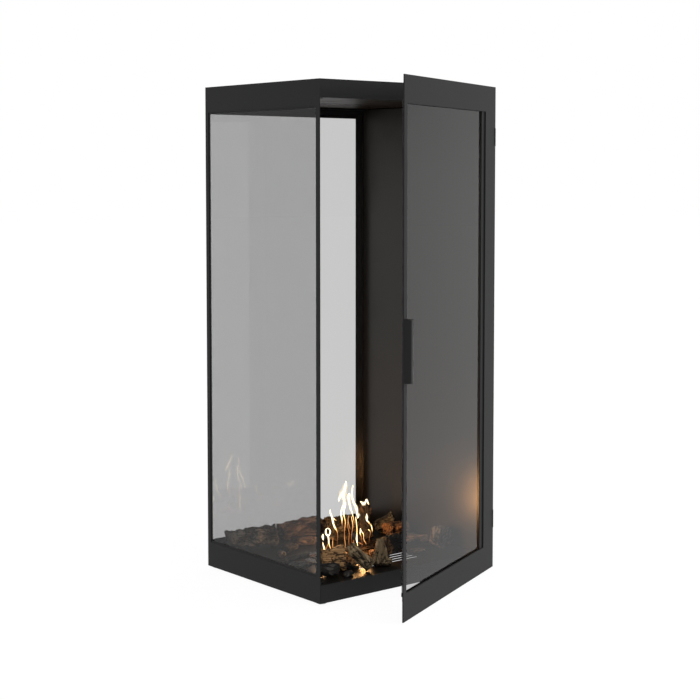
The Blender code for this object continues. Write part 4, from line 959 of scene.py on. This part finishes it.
class FireplaceFire(bpy.types.PropertyGroup):
    """Size and brightness of the fire."""

    height: FloatProperty(
        name="Height",
        description="Multiplies the height of every flame",
        default=1.0,
        min=0.1,
        subtype="FACTOR",
    )
    brightness: FloatProperty(name="Brightness", description="Strength of the flames", default=7.0, min=0)
    lamp_power: FloatProperty(
        name="Lamp power",
        description="Power that the lamps in the fire have shares of",
        default=1.05,
        min=0,
        unit="POWER",
    )


class FireplaceStage(bpy.types.PropertyGroup):
    """Room light and the large lamp."""

    room_light: FloatProperty(name="Room light", description="Strength of room light", default=0.80, min=0)
    key_power: FloatProperty(
        name="Key lamp", description="Power of the large soft lamp", default=60.0, min=0, unit="POWER"
    )


# Operators


class OBJECT_OT_fireplace_finishes(bpy.types.Operator):
    """Gives the steel, glass, seals and fittings their finishes"""

    bl_idname = "object.fireplace_finishes"
    bl_label = "Finish the cabinet and door"

    def execute(self, context):
        looks = context.scene.fireplace_finishes
        coats = {}
        for part, gloss in COAT_GLOSS.items():
            colour = looks.door if part == "door" else looks.cabinet
            coats[part] = powder_coat(part + "_powder_coat", colour, looks.roughness, gloss)
        hearth = satin_sheet("hearth_satin", HEARTH_BLACK, HEARTH_SATIN)
        liner = satin_sheet("liner_satin", looks.liner, LINER_SATIN, SOOT_LINE)
        ceiling = satin_sheet("ceiling_satin", CEILING_BROWN, CEILING_SATIN)
        glass = tinted_pane("tinted_glass", looks.glass, END_MIRROR)
        rear_glass = tinted_pane("rear_tinted_glass", shaded(looks.glass, REAR_TINT), REAR_MIRROR)
        door_glass = tinted_pane("door_tinted_glass", looks.glass, DOOR_MIRROR)
        seal = soft_seal("silicone_seal")
        steel = brushed_steel("burner_steel", BURNER_STEEL, BURNER_HEAT)
        zinc = zinc_plate("zinc_plate", ZINC)
        black_zinc = zinc_plate("black_zinc", BLACK_ZINC)
        finishes = {
            coats["cabinet"]: ("end_frame", "rear_frame", "side_panel", *pair("hinge_leaf")),
            coats["tray"]: (*pair("end_bead", "bottom", "top"), *pair("rear_bead", "bottom", "top")),
            coats["sill"]: ("base_pan",),
            coats["top"]: ("roof_pan",),
            coats["door"]: ("door_skin", "door_glass_frame", "door_seal", *pair("door_barrel")),
            hearth: ("hearth_plate",),
            liner: ("side_liner",),
            ceiling: ("ceiling_plate",),
            glass: ("end_glass",),
            rear_glass: ("rear_glass",),
            door_glass: ("door_glass",),
            seal: ("end_seal", "rear_seal"),
            steel: ("burner_tank", "burner_cover", "burner_slide", "slide_rail_front", "slide_rail_rear"),
            fibre_board("ceramic_wool", CERAMIC_WOOL): ("burner_wool", "wall_insulation"),
            painted_grip("handle_lacquer", HANDLE_BLACK): ("handle",),
            zinc: (*FEET, *pair("hinge_pin"), "hinge_post", "slide_knob"),
            black_zinc: (*pair("handle_screw"), *pair("door_magnet"), *pair("door_strip", "bottom", "top")),
        }
        for finish, nodes in finishes.items():
            for node in nodes:
                dress(node, finish)
        return {"FINISHED"}


class OBJECT_OT_fireplace_logs(bpy.types.Operator):
    """Carves the ceramic logs and lays the chips between them"""

    bl_idname = "object.fireplace_logs"
    bl_label = "Carve the logs"

    def execute(self, context):
        sizes = context.scene.fireplace_logs
        for number, (node, (bark, wood, char, depth)) in enumerate(LOG_LOOKS.items()):
            mesh = even_mesh(merged_copy(node), sizes.voxel)
            carve_bark(mesh, depth * MILLIMETRE * sizes.bark_depth, number * LOG_SEED_STEP)
            mark_split_face(mesh, node)
            piece = self.add_log("carved_" + node, mesh, log_finish("bark_" + node, bark, wood, char), char)
            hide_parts(node)
        for number, (name, (x, y, length, thickness, turn, look)) in enumerate(CHIPS.items()):
            shape = chip_shape(length, thickness, number * CHIP_SEED_STEP)
            place = Matrix.Translation((x, MIDDLE_Y + y, HEARTH + thickness * CHIP_FLAT_SHARE + CHIP_GAP))
            shape.transform(place @ Matrix.Rotation(math.radians(turn), 4, "Z"))
            mesh = mesh_of(shape, name)
            carve_bark(mesh, CHIP_BARK, number * CHIP_BARK_SEED_STEP)
            bark, wood, char, _ = LOG_LOOKS[look]
            self.add_log(name, mesh, log_finish("bark_" + name, bark, wood, char), char)
        return {"FINISHED"}

    @staticmethod
    def add_log(name, mesh, finish, char):
        """Adds a log or chip as a piece of the cabinet, with its finish."""
        piece = add_piece(name, mesh, finish)
        return piece


class OBJECT_OT_fireplace_fire(bpy.types.Operator):
    """Lights the burner: tongues of fire with bright cores in thin veils, and the lamps inside the fire"""

    bl_idname = "object.fireplace_fire"
    bl_label = "Light the burner"

    def execute(self, context):
        fire = context.scene.fireplace_fire
        skins = {
            layer: fire_skin("flame_" + layer, fire.brightness * share, solid)
            for layer, _, _, share, solid in FLAME_LAYERS
        }
        for number, (name, (depth, points)) in enumerate(FLAMES.items()):
            tall = [(along, rise * fire.height, width, heat) for along, rise, width, heat in points]
            for layer, swell, spread, _, _ in FLAME_LAYERS:
                title = "flame_" + name + "_" + layer
                mesh = flame_mesh(title, depth, tall, swell, spread, number * FLAME_SEED_STEP)
                add_piece(title, mesh, skins[layer])
        unlit = self.collect("unlit_glass", ("end_glass", "rear_glass", "door_glass"))
        for member in unlit.collection_objects:
            member.light_linking.link_state = "EXCLUDE"
        receivers = {"all": unlit, "wall": self.collect("glowing_wall", ("side_liner",))}
        for name, x, z, size, share, lit in FIRE_LAMPS:
            lamp = bpy.data.lights.new(name, "POINT")
            lamp.energy = fire.lamp_power * share
            lamp.color = FIRE_COLOUR
            lamp.shadow_soft_size = size
            holder = bpy.data.objects.new(name, lamp)
            holder.location = (BURNER.x + x, BURNER.y, BURNER.z + z)
            holder.visible_camera = False
            holder.light_linking.receiver_collection = receivers[lit]
            bpy.context.scene.collection.objects.link(holder)
        return {"FINISHED"}

    @staticmethod
    def collect(name, nodes):
        """A collection of CAD nodes for light linking, which isn't part of the scene's own."""
        made = bpy.data.collections.new(name)
        for node in nodes:
            made.objects.link(NODES[node])
        return made


class OBJECT_OT_fireplace_stage(bpy.types.Operator):
    """Sets the floor, the room light, the large lamp and the camera"""

    bl_idname = "object.fireplace_stage"
    bl_label = "Set the stage"

    def execute(self, context):
        stage = context.scene.fireplace_stage
        scene = context.scene
        scene.view_settings.view_transform = "Standard"
        self.make_floor()
        self.make_room(scene, stage.room_light)
        self.make_lamp("key_lamp", KEY_PLACE, KEY_SIZE, stage.key_power)
        camera = bpy.data.cameras.new("camera")
        camera.lens = CAMERA_LENS
        camera.sensor_width = SENSOR_WIDTH
        camera.shift_y = CAMERA_SHIFT
        camera.clip_end = VIEW_DEPTH
        holder = bpy.data.objects.new("camera", camera)
        scene.collection.objects.link(holder)
        holder.location = Vector(CAMERA_PLACE) + Vector((0.0, MIDDLE_Y, 0.0))
        holder.rotation_euler = (math.radians(90 - CAMERA_TILT), 0.0, -math.radians(CAMERA_TURN))
        scene.camera = holder
        return {"FINISHED"}

    @staticmethod
    def make_floor():
        """A large pale floor that shows white to the camera and keeps a faint shadow."""
        shape = bmesh.new()
        bmesh.ops.create_grid(shape, x_segments=1, y_segments=1, size=FLOOR_HALF)
        mesh = mesh_of(shape, "floor")
        floor = bpy.data.objects.new("floor", mesh)
        bpy.context.scene.collection.objects.link(floor)
        floor.location.z = -FLOOR_DROP
        make = Finish("floor_white")
        speck = make.noise(make.place(), 3.0, 2.0)
        matt = make.add("ShaderNodeBsdfDiffuse", None, {"Color": (0.8, 0.8, 0.8, 1.0)}, "BSDF")
        seen, mirrored, passed = (make.add("ShaderNodeLightPath", None, None, ray) for ray in WHITE_RAYS)
        share = (seen + mirrored + passed).clamped() * (FLOOR_SHARE + (speck - 0.5) * 0.01)
        glow = {"Color": (*WHITE, 1.0), "Strength": FLOOR_GLOW}
        white = make.add("ShaderNodeEmission", None, glow, "Emission")
        mesh.materials.append(make.done(make.mix(share, matt, white)))

    @staticmethod
    def make_room(scene, strength):
        """White to the camera and in reflections, and a plain soft light for the rest."""
        world = bpy.data.worlds.new("room")
        scene.world = world
        world.use_nodes = True
        nodes, links = world.node_tree.nodes, world.node_tree.links
        nodes.clear()
        soft, white = (nodes.new("ShaderNodeBackground") for _ in range(2))
        for background, power in ((soft, strength), (white, 1.0)):
            background.inputs["Strength"].default_value = power
            background.inputs["Color"].default_value = (*WHITE, 1.0)
        rays = nodes.new("ShaderNodeLightPath").outputs
        share = rays[WHITE_RAYS[0]]
        for ray in WHITE_RAYS[1:]:
            either = nodes.new("ShaderNodeMath")
            either.operation = "MAXIMUM"
            links.new(share, either.inputs[0])
            links.new(rays[ray], either.inputs[1])
            share = either.outputs[0]
        mix = nodes.new("ShaderNodeMixShader")
        output = nodes.new("ShaderNodeOutputWorld")
        for socket, source in zip(mix.inputs, (share, soft.outputs[0], white.outputs[0])):
            links.new(source, socket)
        links.new(mix.outputs[0], output.inputs["Surface"])

    @staticmethod
    def make_lamp(name, place, size, power):
        """A large soft lamp aimed at the middle of the cabinet."""
        lamp = bpy.data.lights.new(name, "AREA")
        lamp.size = size
        lamp.energy = power
        holder = bpy.data.objects.new(name, lamp)
        holder.location = Vector(place) + Vector((0.0, MIDDLE_Y, 0.0))
        aim = Vector((0.0, MIDDLE_Y, AIM_HEIGHT)) - holder.location
        holder.rotation_euler = aim.to_track_quat("-Z", "Y").to_euler()
        holder.visible_camera = False
        bpy.context.scene.collection.objects.link(holder)


class VIEW3D_PT_fireplace(bpy.types.Panel):
    """Lists the steps that dress the fireplace"""

    bl_label = "Room divider fireplace"
    bl_idname = "VIEW3D_PT_fireplace"
    bl_space_type = "VIEW_3D"
    bl_region_type = "UI"
    bl_category = "Fireplace"

    def draw(self, context):
        for group, operator in STEPS:
            settings = getattr(context.scene, group)
            box = self.layout.box()
            for key in settings.bl_rna.properties.keys():
                if key not in ("rna_type", "name"):
                    box.prop(settings, key)
            box.operator(operator)


STEPS = (
    ("fireplace_finishes", "object.fireplace_finishes"),
    ("fireplace_logs", "object.fireplace_logs"),
    ("fireplace_fire", "object.fireplace_fire"),
    ("fireplace_stage", "object.fireplace_stage"),
)
GROUPS = {
    "fireplace_finishes": FireplaceFinishes,
    "fireplace_logs": FireplaceLogs,
    "fireplace_fire": FireplaceFire,
    "fireplace_stage": FireplaceStage,
}
CLASSES = (
    *GROUPS.values(),
    OBJECT_OT_fireplace_finishes,
    OBJECT_OT_fireplace_logs,
    OBJECT_OT_fireplace_fire,
    OBJECT_OT_fireplace_stage,
    VIEW3D_PT_fireplace,
)


def register():
    """Registers the classes and hangs the settings on the scene."""
    for item in CLASSES:
        bpy.utils.register_class(item)
    for name, group in GROUPS.items():
        setattr(bpy.types.Scene, name, PointerProperty(type=group))


def unregister():
    """Takes the settings and the classes away again."""
    for name in GROUPS:
        delattr(bpy.types.Scene, name)
    for item in reversed(CLASSES):
        bpy.utils.unregister_class(item)


def main():
    """Runs every step in order."""
    register()
    bpy.ops.object.fireplace_finishes()
    bpy.ops.object.fireplace_logs()
    bpy.ops.object.fireplace_fire()
    bpy.ops.object.fireplace_stage()


if __name__ == "__main__":
    main()
